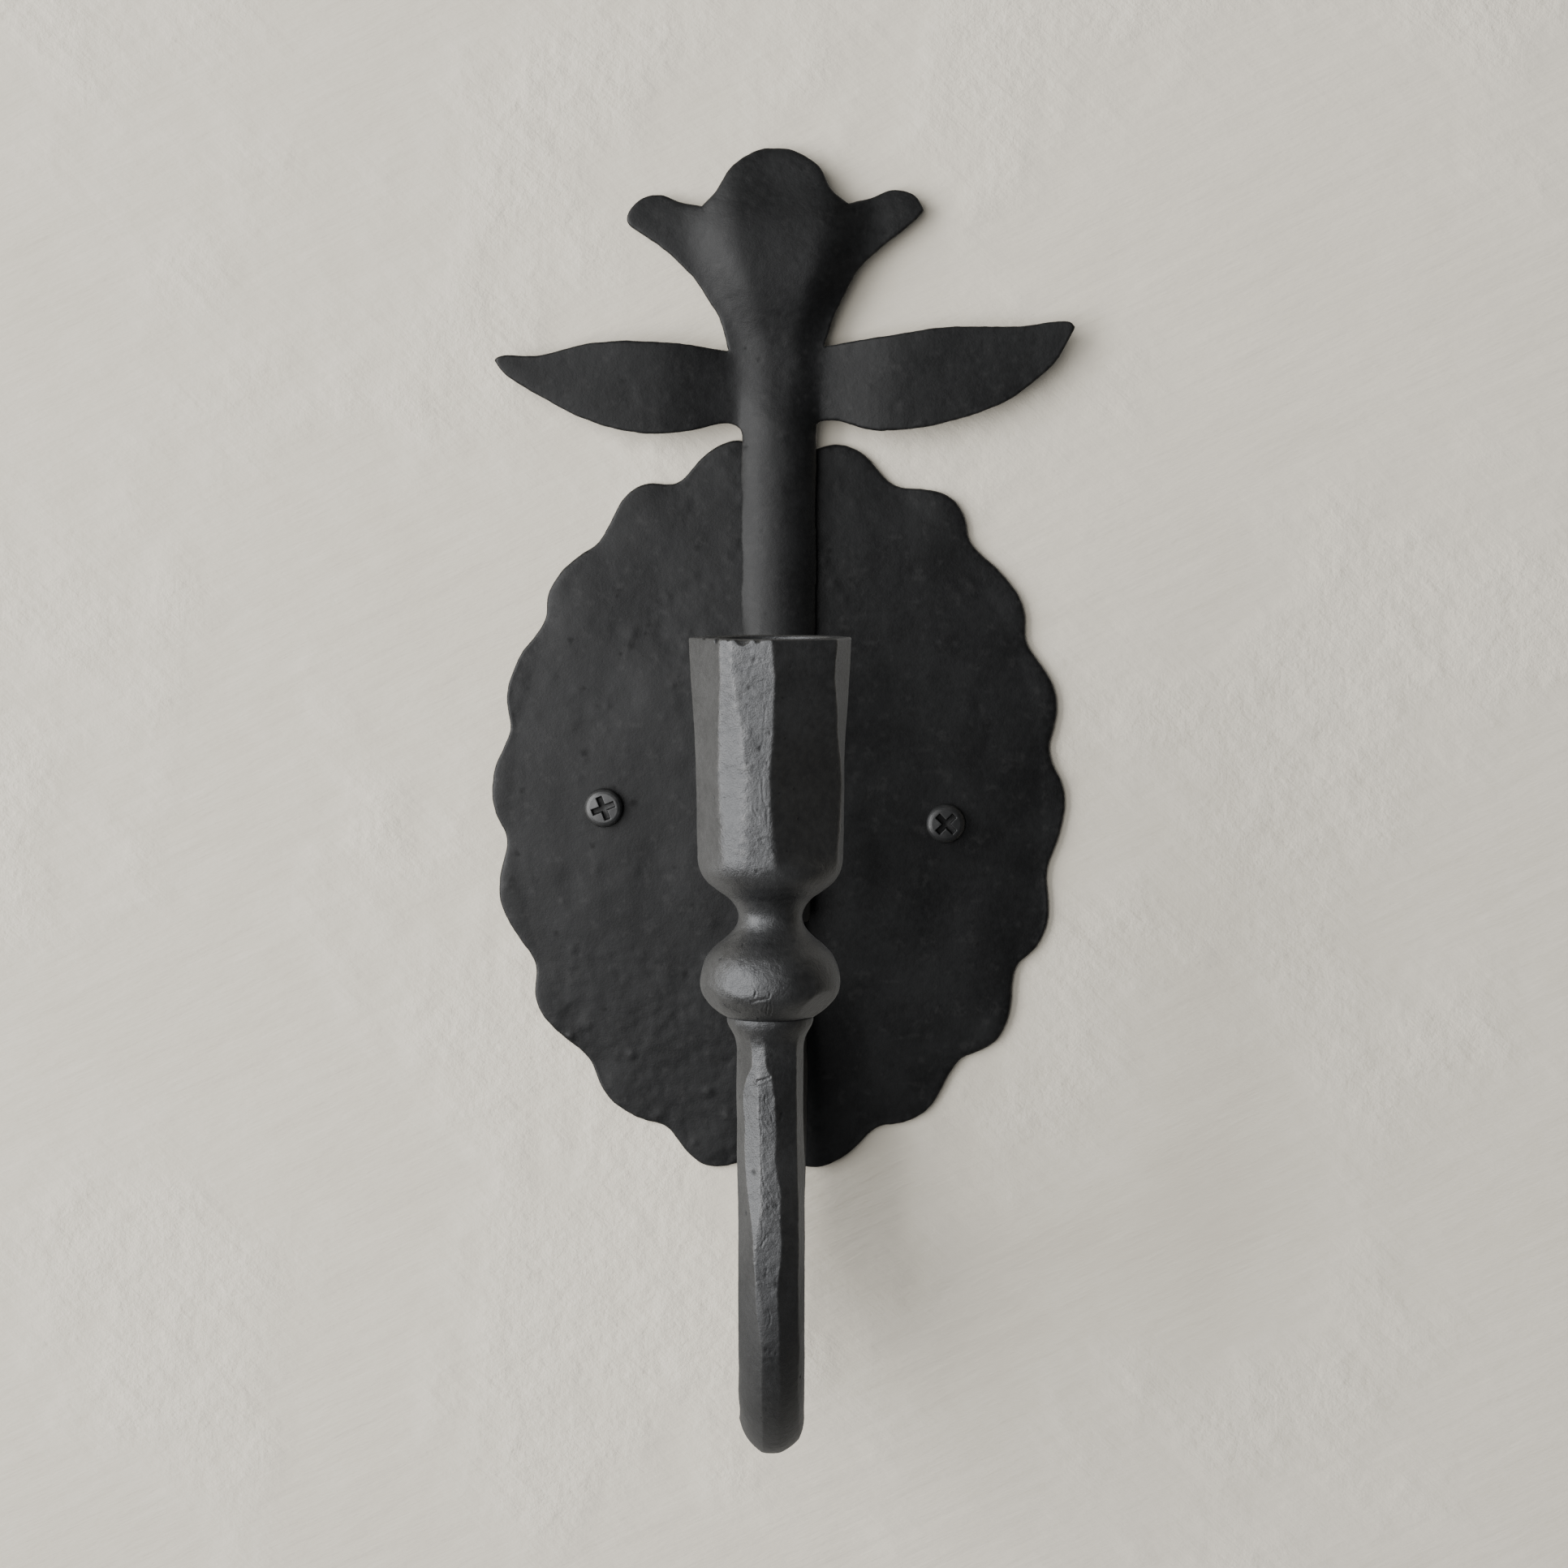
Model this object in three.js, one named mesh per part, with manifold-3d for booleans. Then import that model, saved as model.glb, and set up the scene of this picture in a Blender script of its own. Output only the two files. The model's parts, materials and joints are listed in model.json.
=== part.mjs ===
// Wall sconce for one taper candle: a scalloped iron backplate, a tulip and leaf stem formed from one sheet,
// a forged J-shaped arm with a candle cup on its end, two rivets, two wall screws and their wall plugs.
// Millimetres. +Z is up, +Y goes into the wall, the wall's surface is Y = 0 and the viewer stands at -Y.
// The origin is on the wall's surface, behind the middle of the backplate.

import * as THREE from "three";
import { mergeVertices } from "three/addons/utils/BufferGeometryUtils.js";
import Module from "manifold-3d";

const wasm = await Module();
wasm.setup();

// ---- Driving dimensions -------------------------------------------------------------------------------------

const FIT_GAP = 0.3; // left between pieces that touch
const PAST = 2; // how far a cutter runs past what it cuts
const CUTTER_LENGTH = 100; // long enough to go through every sheet along Y
const ROUND_SIDES = 24; // sides of a small round piece

// Backplate: a dished oval with a narrow flat land round its edge, which lies on the wall.
const PLATE_THICKNESS = 1.8;
const PLATE_HALF_WIDTH = 60.5;
const PLATE_HALF_HEIGHT = 77.2;
const PLATE_DISH = 4.3;
const DISH_HALF_WIDTH = 56;
const DISH_HALF_HEIGHT = 72.5;
const DISH_POWER = 1.2; // 1 gives a plain paraboloid; more gives a softer edge to the dish

// The hand-cut scallops, [x, z] from the top crest on the left and on round: a crest, then the valley after it.
const PLATE_SCALLOPS = [
  [-10.3, 76.1], [-21.3, 67.6], [-29.8, 66.5], [-37.6, 55.2], [-46.7, 47.4], [-49.2, 38.3],
  [-56.4, 26.3], [-56.5, 15.4], [-60.4, 2.4], [-57.2, -7.6], [-58.5, -20.8], [-51.3, -33.9],
  [-50.4, -43.7], [-40.4, -53.8], [-34.5, -63.8], [-23.6, -68.9], [-14.9, -77], [-2.5, -74.6],
  [9.4, -77.2], [21.4, -68.8], [30.4, -66.1], [38.1, -54.8], [47.1, -49.3], [50.3, -34.9],
  [56.3, -27.4], [56.8, -14.1], [60.5, 0.1], [57.2, 11.1], [58.4, 23.1], [52.3, 34],
  [50.6, 43.7], [40.9, 54.6], [36.4, 64.3], [24.4, 67], [14.7, 75.2], [2.5, 73],
];

// Tulip, leaves and stem: one sheet.
const SHEET_THICKNESS = 1.5;
const STEM_X = 0.2;
const STEM_HALF_WIDTH = 8;
const STEM_CROWN = 4.5; // how far the half-round stem stands out of its edges behind the cup
const UPPER_CROWN = 3; // and above the cup
const CROWN_EASES_Z = [28, 46];
const CROWN_OPENS_Z = [78, 90]; // the half-round stem turns into a flat-topped ridge between these heights
const STEM_END_Z = -24;
const STEM_TAPER_Z = 10; // below this the stem narrows
const STEM_TAPER = 1.2;
const STEM_EDGE_OUT = 8; // the stem's edges stand this far off the wall at Z = 0
const STEM_LEAN = 0.037; // and come this much closer for each millimetre of height
// The ridge's height, the middle of its sloping flank and half the flank's width: at the leaves, then more.
const RIDGE = { low: 1.5, more: 2.4, grows: [92, 112] };
const RIDGE_FADE = 0.35; // the ridge loses this share of its height up to the petal's top
const RIDGE_FADES_Z = [114, 134];
const FLANK = { at: 6, more: 8.5, moves: [90, 124] };
const FLANK_HALF_WIDTH = { low: 5, more: 3, grows: [94, 122] };
const LEAN_ENDS_Z = 92;
const PETAL_CURLS_Z = 110; // above this the tulip curls back towards the wall
const PETAL_CURL = 0.0055;
const LEAF_LIFT = 2.1; // the leaves rise this much over these distances from the stem's middle
const LEAF_RISES = [5, 27];
const LEAF_DROOP = 1.2; // and turn back this much towards their tips
const LEAF_DROOPS = [24, 66];
const LEAF_FADES_Z = [98, 110]; // above the leaves, below the tulip's lobes

// Arm: a bar of eight flats, forged flat at the wall end, with a round tenon under the cup.
const BAR_HALF_WIDTH = 6.3;
const PALM_HALF_WIDTH = 5.2;
const PALM_HALF_DEPTH = 1.7;
const PALM_TOP_Z = 31;
const BEND_RADIUS = 34;
const BEND_CENTRE_Z = -85;
const CUP_OUT = 87; // the cup's axis stands this far off the wall
const CUP_X = -1.4;
const BEND_X = -0.8;
const BAR_SWELLS = [55, 89]; // the palm swells into the full bar between these lengths from its top end
const TENON_RADIUS = 4;
const TENON_LENGTH = 10;

// Candle cup: cup, neck and knob are one casting.
const RIM_Z = 37.8;
const RIM_RADIUS = 15.5;
const BORE_RADIUS = 11.4;
const SEAT_Z = 1.8;
const KNOB_BOTTOM_Z = -34;
const CUP_SIDES = 72;
const FLATS_FADE_Z = [-8, -1]; // the cup's flats fade out into its round foot between these heights

// Rivets through stem, palm and plate.
const RIVETS = { rivet_upper: 22, rivet_lower: -2 };
const RIVET_RADIUS = 2.4;
const RIVET_HEAD_RADIUS = 4.7;

// Wall screws: pan heads with a cross recess, in nylon plugs.
const SCREWS = {
  left: { x: -36.6, z: -0.6, turn: 22 },
  right: { x: 35.3, z: -3.9, turn: 45 },
};
const SCREW_RADIUS = 2.1;
const SCREW_CORE_RADIUS = 1.6;
const SCREW_LENGTH = 32;
const SCREW_HEAD_RADIUS = 4.1;
const SCREW_HEAD_HEIGHT = 2.6;
const SCREW_HOLE_RADIUS = 2.6;
const RECESS_ACROSS = 4.7;
const RECESS_WIDTH = 1.1;
const RECESS_DEPTH = 2;
const PLUG_RADIUS = 3.5;
const PLUG_LENGTH = 30;
const PLUG_SUNK = 0.5; // the plug's mouth lies this far below the wall's surface
const PLUG_SPLIT = 1.2;
const PLUG_WHOLE = 12; // this much of the plug at its mouth isn't split

// ---- Helpers ------------------------------------------------------------------------------------------------

const point2 = ([x, y]) => new THREE.Vector2(x, y);

function solid(geometry) {
  const bare = geometry.clone();
  bare.deleteAttribute("normal");
  bare.deleteAttribute("uv");
  const merged = mergeVertices(bare, 1e-4);
  return new wasm.Manifold(
    new wasm.Mesh({
      numProp: 3,
      vertProperties: merged.attributes.position.array,
      triVerts: new Uint32Array(merged.index.array),
    }),
  );
}

function geometryOf(manifold) {
  const mesh = manifold.getMesh();
  const geometry = new THREE.BufferGeometry();
  geometry.setAttribute("position", new THREE.BufferAttribute(new Float32Array(mesh.vertProperties), 3));
  geometry.setIndex(new THREE.BufferAttribute(new Uint32Array(mesh.triVerts), 1));
  const facets = geometry.toNonIndexed();
  facets.computeVertexNormals();
  return facets;
}

function moveVertices(geometry, move) {
  const position = geometry.attributes.position;
  const v = new THREE.Vector3();
  for (let i = 0; i < position.count; i++) {
    v.fromBufferAttribute(position, i);
    move(v);
    position.setXYZ(i, v.x, v.y, v.z);
  }
  return geometry;
}

// A turned shape about the Z axis, from [radius, z] points listed up its outside.
function turned(profile, segments) {
  return new THREE.LatheGeometry(profile.map(point2), segments).rotateX(Math.PI / 2);
}

// A turned shape about a line square to the wall. Its profile's second number is the distance off the wall.
function turnedOffWall(profile, segments, x, z) {
  return new THREE.LatheGeometry(profile.map(point2), segments).rotateX(Math.PI).translate(x, 0, z);
}

// A straight round cutter along Y at (x, z), through everything.
function hole(radius, x, z) {
  const cutter = new THREE.CylinderGeometry(radius, radius, CUTTER_LENGTH, ROUND_SIDES);
  return solid(cutter.translate(x, 0, z));
}

// The solid with a hole for each rivet's shank.
function withRivetHoles(manifold) {
  let drilled = manifold;
  for (const z of Object.values(RIVETS)) {
    drilled = drilled.subtract(hole(RIVET_RADIUS + FIT_GAP, STEM_X, z));
  }
  return drilled;
}

// A sheet in front of the wall. frontAt(x, z) is how far its front stands off the wall, outline is its cut
// edge, and box is a rectangle round the outline, divided into cells of about cell.x by cell.z.
function formedSheet(outline, thickness, frontAt, box, cell) {
  const wide = Math.ceil((box.right - box.left) / cell.x);
  const high = Math.ceil((box.top - box.bottom) / cell.z);
  const slab = new THREE.BoxGeometry(box.right - box.left, thickness, box.top - box.bottom, wide, 1, high);
  slab.translate((box.left + box.right) / 2, thickness / 2, (box.bottom + box.top) / 2);
  moveVertices(slab, (v) => {
    v.y -= frontAt(v.x, v.z);
  });
  const cutter = new THREE.ExtrudeGeometry(outline, {
    depth: CUTTER_LENGTH,
    bevelEnabled: false,
    curveSegments: 6,
  });
  cutter.rotateX(Math.PI / 2).translate(0, CUTTER_LENGTH / 2, 0);
  return solid(slab).intersect(solid(cutter));
}

// A bar with eight flats along a curve. halfWidthAt and halfDepthAt give its size at a share of its length.
function forgedBar(curve, halfWidthAt, halfDepthAt, steps) {
  const geometry = new THREE.CylinderGeometry(1, 1, 1, 8, steps, false, Math.PI / 8);
  const across = new THREE.Vector3(1, 0, 0);
  const corner = 1 / Math.cos(Math.PI / 8);
  return moveVertices(geometry, (v) => {
    const share = THREE.MathUtils.clamp(v.y + 0.5, 0, 1);
    const along = curve.getTangentAt(share);
    const out = across.clone().cross(along).normalize();
    const centre = curve.getPointAt(share);
    const sideways = v.x * corner * halfWidthAt(share);
    const outward = v.z * corner * halfDepthAt(share);
    v.copy(centre).addScaledVector(across, sideways).addScaledVector(out, outward);
  });
}

// ---- Backplate ----------------------------------------------------------------------------------------------

// How far the back of the plate stands off the wall.
function dishAt(x, z) {
  const inside = 1 - (x / DISH_HALF_WIDTH) ** 2 - (z / DISH_HALF_HEIGHT) ** 2;
  return inside > 0 ? PLATE_DISH * inside ** DISH_POWER : 0;
}

const plateFrontAt = (x, z) => dishAt(x, z) + PLATE_THICKNESS;

// The cut edge: one smooth closed curve through the crests and valleys of the scallops.
function plateOutline() {
  const corners = PLATE_SCALLOPS.map(([x, z]) => new THREE.Vector3(x, z, 0));
  const edge = new THREE.CatmullRomCurve3(corners, true, "centripetal");
  const points = edge.getPoints(corners.length * 4).slice(1);
  return new THREE.Shape(points.map((p) => new THREE.Vector2(p.x, p.y)));
}

function backplate() {
  const box = {
    left: -PLATE_HALF_WIDTH - PAST * 2,
    right: PLATE_HALF_WIDTH + PAST * 2,
    bottom: -PLATE_HALF_HEIGHT - PAST * 2,
    top: PLATE_HALF_HEIGHT + PAST * 2,
  };
  let plate = formedSheet(plateOutline(), PLATE_THICKNESS, plateFrontAt, box, { x: 5, z: 5 });
  for (const { x, z } of Object.values(SCREWS)) {
    plate = plate.subtract(hole(SCREW_HOLE_RADIUS, x, z));
  }
  return geometryOf(withRivetHoles(plate));
}

// ---- Floral stem --------------------------------------------------------------------------------------------

// A number that grows from low by more while z passes through the range.
const grown = (z, low, more, range) => low + more * THREE.MathUtils.smootherstep(z, ...range);

// How far a point of the half-round stem stands out of the stem's edges.
function halfRoundAt(away, z) {
  if (away >= STEM_HALF_WIDTH) return 0;
  const crown = grown(z, STEM_CROWN, UPPER_CROWN - STEM_CROWN, CROWN_EASES_Z);
  const radius = (STEM_HALF_WIDTH ** 2 + crown ** 2) / (2 * crown);
  return Math.sqrt(radius ** 2 - away ** 2) - (radius - crown);
}

// The flat-topped ridge that runs up between the leaves and widens into the tulip.
function ridgeAt(away, z) {
  const faded = 1 - RIDGE_FADE * THREE.MathUtils.smootherstep(z, ...RIDGE_FADES_Z);
  const height = faded * grown(z, RIDGE.low, RIDGE.more, RIDGE.grows);
  const flank = grown(z, FLANK.at, FLANK.more, FLANK.moves);
  const half = grown(z, FLANK_HALF_WIDTH.low, FLANK_HALF_WIDTH.more, FLANK_HALF_WIDTH.grows);
  return height * (1 - THREE.MathUtils.smootherstep(away, flank - half, flank + half));
}

// How far the front of the sheet stands off the wall.
function sheetFrontAt(x, z) {
  const away = Math.abs(x - STEM_X);
  const edge = STEM_EDGE_OUT - STEM_LEAN * Math.min(z, LEAN_ENDS_Z);
  const opened = THREE.MathUtils.smoothstep(z, ...CROWN_OPENS_Z);
  const crown = THREE.MathUtils.lerp(halfRoundAt(away, z), ridgeAt(away, z), opened);
  const curl = PETAL_CURL * Math.max(0, z - PETAL_CURLS_Z) ** 2;
  const rise = LEAF_LIFT * THREE.MathUtils.smootherstep(away, ...LEAF_RISES);
  const droop = LEAF_DROOP * THREE.MathUtils.smootherstep(away, ...LEAF_DROOPS);
  const leaf = 1 - THREE.MathUtils.smoothstep(z, ...LEAF_FADES_Z);
  return edge + crown - curl + leaf * (rise - droop);
}

// The cut edge, [x, z], up the stem's left side and on round. Each spline runs from one corner to the next.
function floralOutline() {
  const shape = new THREE.Shape();
  const left = STEM_X - STEM_HALF_WIDTH;
  const right = STEM_X + STEM_HALF_WIDTH;
  const spline = (...points) => shape.splineThru(points.map(point2));
  shape.moveTo(left + STEM_TAPER, STEM_END_Z);
  shape.lineTo(left, STEM_TAPER_Z);
  shape.lineTo(left, 79);
  // Left leaf, lower edge and upper edge.
  spline([-10.6, 79.9], [-19, 78.2], [-28.4, 77.8], [-41, 81], [-53.6, 87.9], [-57.5, 90.7], [-59.1, 93]);
  spline([-57.7, 93.9], [-49.8, 94], [-38.2, 96.6], [-24, 96.7], [-10.2, 94.9]);
  // Tulip: left side, left lobe, top petal, right lobe, right side.
  spline([-12, 101.3], [-15.2, 106.6], [-19.2, 111.9], [-24.7, 116.7], [-31.3, 121.7]);
  spline([-31.1, 123.8], [-28.5, 126.6], [-24.7, 127.4], [-20.4, 126], [-16, 125.1]);
  spline(
    [-13.3, 127.8], [-9.9, 133], [-4.2, 136.7], [-0.8, 137.2],
    [2.8, 136.8], [8.6, 133.2], [11.3, 128.4], [14.8, 125.6],
  );
  spline([18.9, 126.6], [24, 128.4], [28.5, 127.5], [30.5, 124.2]);
  spline([27.8, 121.2], [22.4, 117], [16.9, 111.6], [14.1, 106.6], [11.4, 101.3], [9.8, 95.9]);
  // Right leaf, upper edge and lower edge.
  spline([23.2, 98.1], [36, 99.9], [50.5, 100.1], [60.8, 101], [62, 99.8]);
  spline([57.6, 92.4], [48.4, 84.9], [36.7, 80.4], [21.3, 78.3], [11.6, 80.4], [right, 79.6]);
  shape.lineTo(right, STEM_TAPER_Z);
  shape.lineTo(right - STEM_TAPER, STEM_END_Z);
  return shape;
}

function floralStem() {
  const box = { left: -62, right: 64, bottom: STEM_END_Z - PAST, top: 140 };
  const sheet = formedSheet(floralOutline(), SHEET_THICKNESS, sheetFrontAt, box, { x: 2, z: 4 });
  return geometryOf(withRivetHoles(sheet));
}

// ---- Arm ----------------------------------------------------------------------------------------------------

// The middle of the bar: from the palm's top, down and out from the wall, round the bend and up to the cup.
function armCurve() {
  const palmOut = (z) => plateFrontAt(STEM_X, z) + FIT_GAP + PALM_HALF_DEPTH;
  const at = (x, out, z) => new THREE.Vector3(x, -out, z);
  const points = [
    at(STEM_X, palmOut(PALM_TOP_Z), PALM_TOP_Z),
    at(STEM_X, palmOut(16), 16),
    at(STEM_X, palmOut(0), 0),
    at(STEM_X, palmOut(-10), -10),
    at(STEM_X, 8.6, -24),
    at(0, 10.2, -38),
    at(-0.2, 13.4, -56),
    at(-0.5, 17.2, -72),
  ];
  for (let degrees = 190; degrees <= 360; degrees += 17) {
    const angle = THREE.MathUtils.degToRad(degrees);
    const out = CUP_OUT - BEND_RADIUS + BEND_RADIUS * Math.cos(angle);
    points.push(at(BEND_X, out, BEND_CENTRE_Z + BEND_RADIUS * Math.sin(angle)));
  }
  points.push(at(-1.1, CUP_OUT, -70), at(CUP_X, CUP_OUT, -50), at(CUP_X, CUP_OUT, KNOB_BOTTOM_Z - 3));
  return new THREE.CatmullRomCurve3(points, false, "centripetal");
}

// The flared collar under the knob, and the tenon that stands in the knob's socket.
function collarAndTenon() {
  const shoulder = KNOB_BOTTOM_Z - FIT_GAP;
  const top = shoulder + TENON_LENGTH;
  const chamfer = 0.6;
  const profile = [
    [0, shoulder - 8],
    [6.2, shoulder - 8],
    [7, shoulder - 3.2],
    [8, shoulder - 0.8],
    [8, shoulder],
    [TENON_RADIUS, shoulder],
    [TENON_RADIUS, top - chamfer],
    [TENON_RADIUS - chamfer, top],
    [0, top],
  ];
  return turned(profile, ROUND_SIDES).translate(CUP_X, -CUP_OUT, 0);
}

function arm() {
  const curve = armCurve();
  const length = curve.getLength();
  const swell = (share) => THREE.MathUtils.smoothstep(share * length, ...BAR_SWELLS);
  const halfWidthAt = (share) => THREE.MathUtils.lerp(PALM_HALF_WIDTH, BAR_HALF_WIDTH, swell(share));
  const halfDepthAt = (share) => THREE.MathUtils.lerp(PALM_HALF_DEPTH, BAR_HALF_WIDTH, swell(share));
  const bar = solid(forgedBar(curve, halfWidthAt, halfDepthAt, 70)).add(solid(collarAndTenon()));
  return geometryOf(withRivetHoles(bar));
}

// ---- Candle cup ---------------------------------------------------------------------------------------------

// The hammered flats of the cup meet at these directions, in degrees round from the front, towards +X.
const FLAT_EDGES = [-37, -27, 2, 52, 96, 142, 187, 232, 278, 323];

// How far in from a circle of radius 1 the nearest flat lies in that direction.
function flatAt(degrees) {
  const turn = THREE.MathUtils.euclideanModulo(degrees - FLAT_EDGES[0], 360) + FLAT_EDGES[0];
  const next = FLAT_EDGES.findIndex((edge) => edge > turn);
  const [from, to] = [FLAT_EDGES[next - 1], FLAT_EDGES[next]];
  const half = THREE.MathUtils.degToRad((to - from) / 2);
  return Math.cos(half) / Math.cos(THREE.MathUtils.degToRad(turn - (from + to) / 2));
}

function candleCup() {
  const socket = TENON_RADIUS + FIT_GAP;
  const socketTop = KNOB_BOTTOM_Z + TENON_LENGTH;
  const profile = [
    [0, socketTop], [socket, socketTop], [socket, KNOB_BOTTOM_Z], [8.4, KNOB_BOTTOM_Z],
    [9.8, -33.1], [11.6, -31.5], [12.9, -29.5], [13.3, -27.3], [12.85, -24.6], [11.8, -22.3], // knob
    [10.3, -20.6], [8.2, -18.9], [6.6, -17.1], [6, -15.2], [6.4, -13.5], [7.8, -11.6], // neck
    [9.9, -10.1], [12.3, -8], [13.7, -5.2], [14.05, -1.4], // foot of the cup
    [14.15, 6], [14.3, 17], [14.8, 25], [15.2, 32], [RIM_RADIUS, RIM_Z], // side
    [BORE_RADIUS, RIM_Z], [BORE_RADIUS, SEAT_Z], [0, SEAT_Z], // rim and bore
  ];
  const casting = turned(profile, CUP_SIDES);
  moveVertices(casting, (v) => {
    const radius = Math.hypot(v.x, v.y);
    const outside = radius > BORE_RADIUS + 0.4;
    const onCup = outside ? THREE.MathUtils.smoothstep(v.z, ...FLATS_FADE_Z) : 0;
    const scale = 1 + onCup * (flatAt(THREE.MathUtils.radToDeg(Math.atan2(v.x, -v.y))) - 1);
    v.x *= scale;
    v.y *= scale;
  });
  return casting.translate(CUP_X, -CUP_OUT, 0);
}

// ---- Fasteners ----------------------------------------------------------------------------------------------

function rivet(z) {
  const front = sheetFrontAt(STEM_X, z) + FIT_GAP;
  const back = dishAt(STEM_X, z) - FIT_GAP;
  const tail = [[0, back - 2.2], [3.4, back - 1.9], [RIVET_HEAD_RADIUS, back - 0.8], [RIVET_HEAD_RADIUS, back]];
  const shank = [[RIVET_RADIUS, back], [RIVET_RADIUS, front]];
  const head = [
    [RIVET_HEAD_RADIUS, front], [RIVET_HEAD_RADIUS - 0.3, front + 0.9],
    [3.2, front + 2.1], [1.6, front + 2.7], [0, front + 2.8],
  ];
  return turnedOffWall([...tail, ...shank, ...head], ROUND_SIDES, STEM_X, z);
}

// The highest point of the plate's front under a screw's head.
function seatUnderHead(x, z) {
  const nearer = Math.max(0, Math.abs(x) - SCREW_HEAD_RADIUS);
  return plateFrontAt(nearer, Math.max(0, Math.abs(z) - SCREW_HEAD_RADIUS)) + FIT_GAP;
}

function wallScrew({ x, z, turn }) {
  const seat = seatUnderHead(x, z);
  const tip = seat - SCREW_LENGTH;
  const thread = [[0, tip], [0.5, tip + 0.6], [SCREW_CORE_RADIUS, tip + 5], [SCREW_CORE_RADIUS, -1]];
  const shank = [[SCREW_RADIUS, 0.4], [SCREW_RADIUS, seat]];
  const head = [
    [SCREW_HEAD_RADIUS, seat], [SCREW_HEAD_RADIUS, seat + 1], [3.8, seat + 1.8],
    [2.6, seat + 2.4], [0, seat + SCREW_HEAD_HEIGHT],
  ];
  let screw = solid(turnedOffWall([...thread, ...shank, ...head], 32, x, z));
  for (const quarter of [0, 90]) {
    const slot = new THREE.BoxGeometry(RECESS_ACROSS, RECESS_DEPTH * 2, RECESS_WIDTH);
    slot.rotateY(THREE.MathUtils.degToRad(turn + quarter));
    screw = screw.subtract(solid(slot.translate(x, -(seat + SCREW_HEAD_HEIGHT), z)));
  }
  return geometryOf(screw);
}

function wallPlug({ x, z }) {
  const bore = SCREW_CORE_RADIUS + FIT_GAP;
  const mouth = -PLUG_SUNK;
  const end = mouth - PLUG_LENGTH;
  const sleeve = turnedOffWall(
    [
      [bore, end], [PLUG_RADIUS - 0.8, end], [PLUG_RADIUS, end + 3], [PLUG_RADIUS, mouth],
      [SCREW_RADIUS + FIT_GAP, mouth], [bore, mouth - 1.5], [bore, end],
    ],
    ROUND_SIDES,
    x,
    z,
  );
  const splitLength = PLUG_LENGTH - PLUG_WHOLE + PAST * 2;
  const split = new THREE.BoxGeometry(PLUG_RADIUS * 3, splitLength, PLUG_SPLIT);
  split.translate(x, PLUG_SUNK + PLUG_WHOLE + splitLength / 2, z);
  return geometryOf(solid(sleeve).subtract(solid(split)));
}

// ---- The assembly -------------------------------------------------------------------------------------------

const blackIron = { color: 0x252627, roughness: 0.62, metalness: 0.55 };
const forgedIron = { color: 0x303132, roughness: 0.5, metalness: 0.7 };
const screwSteel = { color: 0x1e1f20, roughness: 0.45, metalness: 0.8 };
const nylon = { color: 0x8d8c88, roughness: 0.6, metalness: 0 };

const sconce = new THREE.Group();

function addPiece(name, geometry, finish) {
  const mesh = new THREE.Mesh(geometry, new THREE.MeshStandardMaterial(finish));
  mesh.name = name;
  sconce.add(mesh);
}

addPiece("backplate", backplate(), blackIron);
addPiece("floral_stem", floralStem(), blackIron);
addPiece("arm", arm(), forgedIron);
addPiece("candle_cup", candleCup(), forgedIron);
for (const [name, z] of Object.entries(RIVETS)) addPiece(name, rivet(z), forgedIron);
for (const [side, place] of Object.entries(SCREWS)) {
  addPiece("wall_screw_" + side, wallScrew(place), screwSteel);
  addPiece("wall_plug_" + side, wallPlug(place), nylon);
}

export default sconce;
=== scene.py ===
"""Wall sconce for one taper candle: the looks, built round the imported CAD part.

Shape functions work in millimetres and meshes are handed to Blender in metres. X is to the viewer's right,
Y goes into the wall, Z is up. "Out" is the distance off the wall, so Y is minus out.
"""

import json
import math

import bpy
import numpy as np
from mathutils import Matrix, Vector
from mathutils.geometry import delaunay_2d_cdt


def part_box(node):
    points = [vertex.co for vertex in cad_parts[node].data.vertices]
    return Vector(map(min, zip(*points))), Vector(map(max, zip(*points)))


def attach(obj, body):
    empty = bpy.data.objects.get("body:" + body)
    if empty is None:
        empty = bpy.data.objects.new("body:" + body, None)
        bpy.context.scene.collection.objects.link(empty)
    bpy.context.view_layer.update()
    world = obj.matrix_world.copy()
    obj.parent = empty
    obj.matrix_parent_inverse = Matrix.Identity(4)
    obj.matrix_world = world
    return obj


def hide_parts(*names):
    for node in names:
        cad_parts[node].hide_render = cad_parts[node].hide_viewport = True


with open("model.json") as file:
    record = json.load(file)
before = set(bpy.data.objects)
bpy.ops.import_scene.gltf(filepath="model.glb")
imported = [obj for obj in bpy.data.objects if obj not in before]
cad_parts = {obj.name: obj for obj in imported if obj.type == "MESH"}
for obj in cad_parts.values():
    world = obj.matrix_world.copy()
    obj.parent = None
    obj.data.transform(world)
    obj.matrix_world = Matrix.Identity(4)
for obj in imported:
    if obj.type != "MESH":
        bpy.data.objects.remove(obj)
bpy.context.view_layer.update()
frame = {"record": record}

MM = 0.001

# ---- Sizes, in millimetres ---------------------------------------------------------------------------------


def node_box(node):
    """Lowest and highest corner of a CAD node, in millimetres, and its middle."""
    low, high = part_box(node)
    low, high = np.array(low) / MM, np.array(high) / MM
    return low, high, (low + high) / 2


PLATE_LOW = node_box("backplate")[0]
CUP_LOW, CUP_HIGH, CUP_MIDDLE = node_box("candle_cup")
ARM_LOW, ARM_HIGH, _ = node_box("arm")
STEM_LOW = node_box("floral_stem")[0]

GAP = 0.3  # left between pieces that touch

PLATE_THICKNESS = 1.8
PLATE_DISH = -PLATE_LOW[1] - PLATE_THICKNESS
DISH_HALF_WIDTH = 56.0
DISH_HALF_HEIGHT = 72.5
DISH_POWER = 1.2

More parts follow.
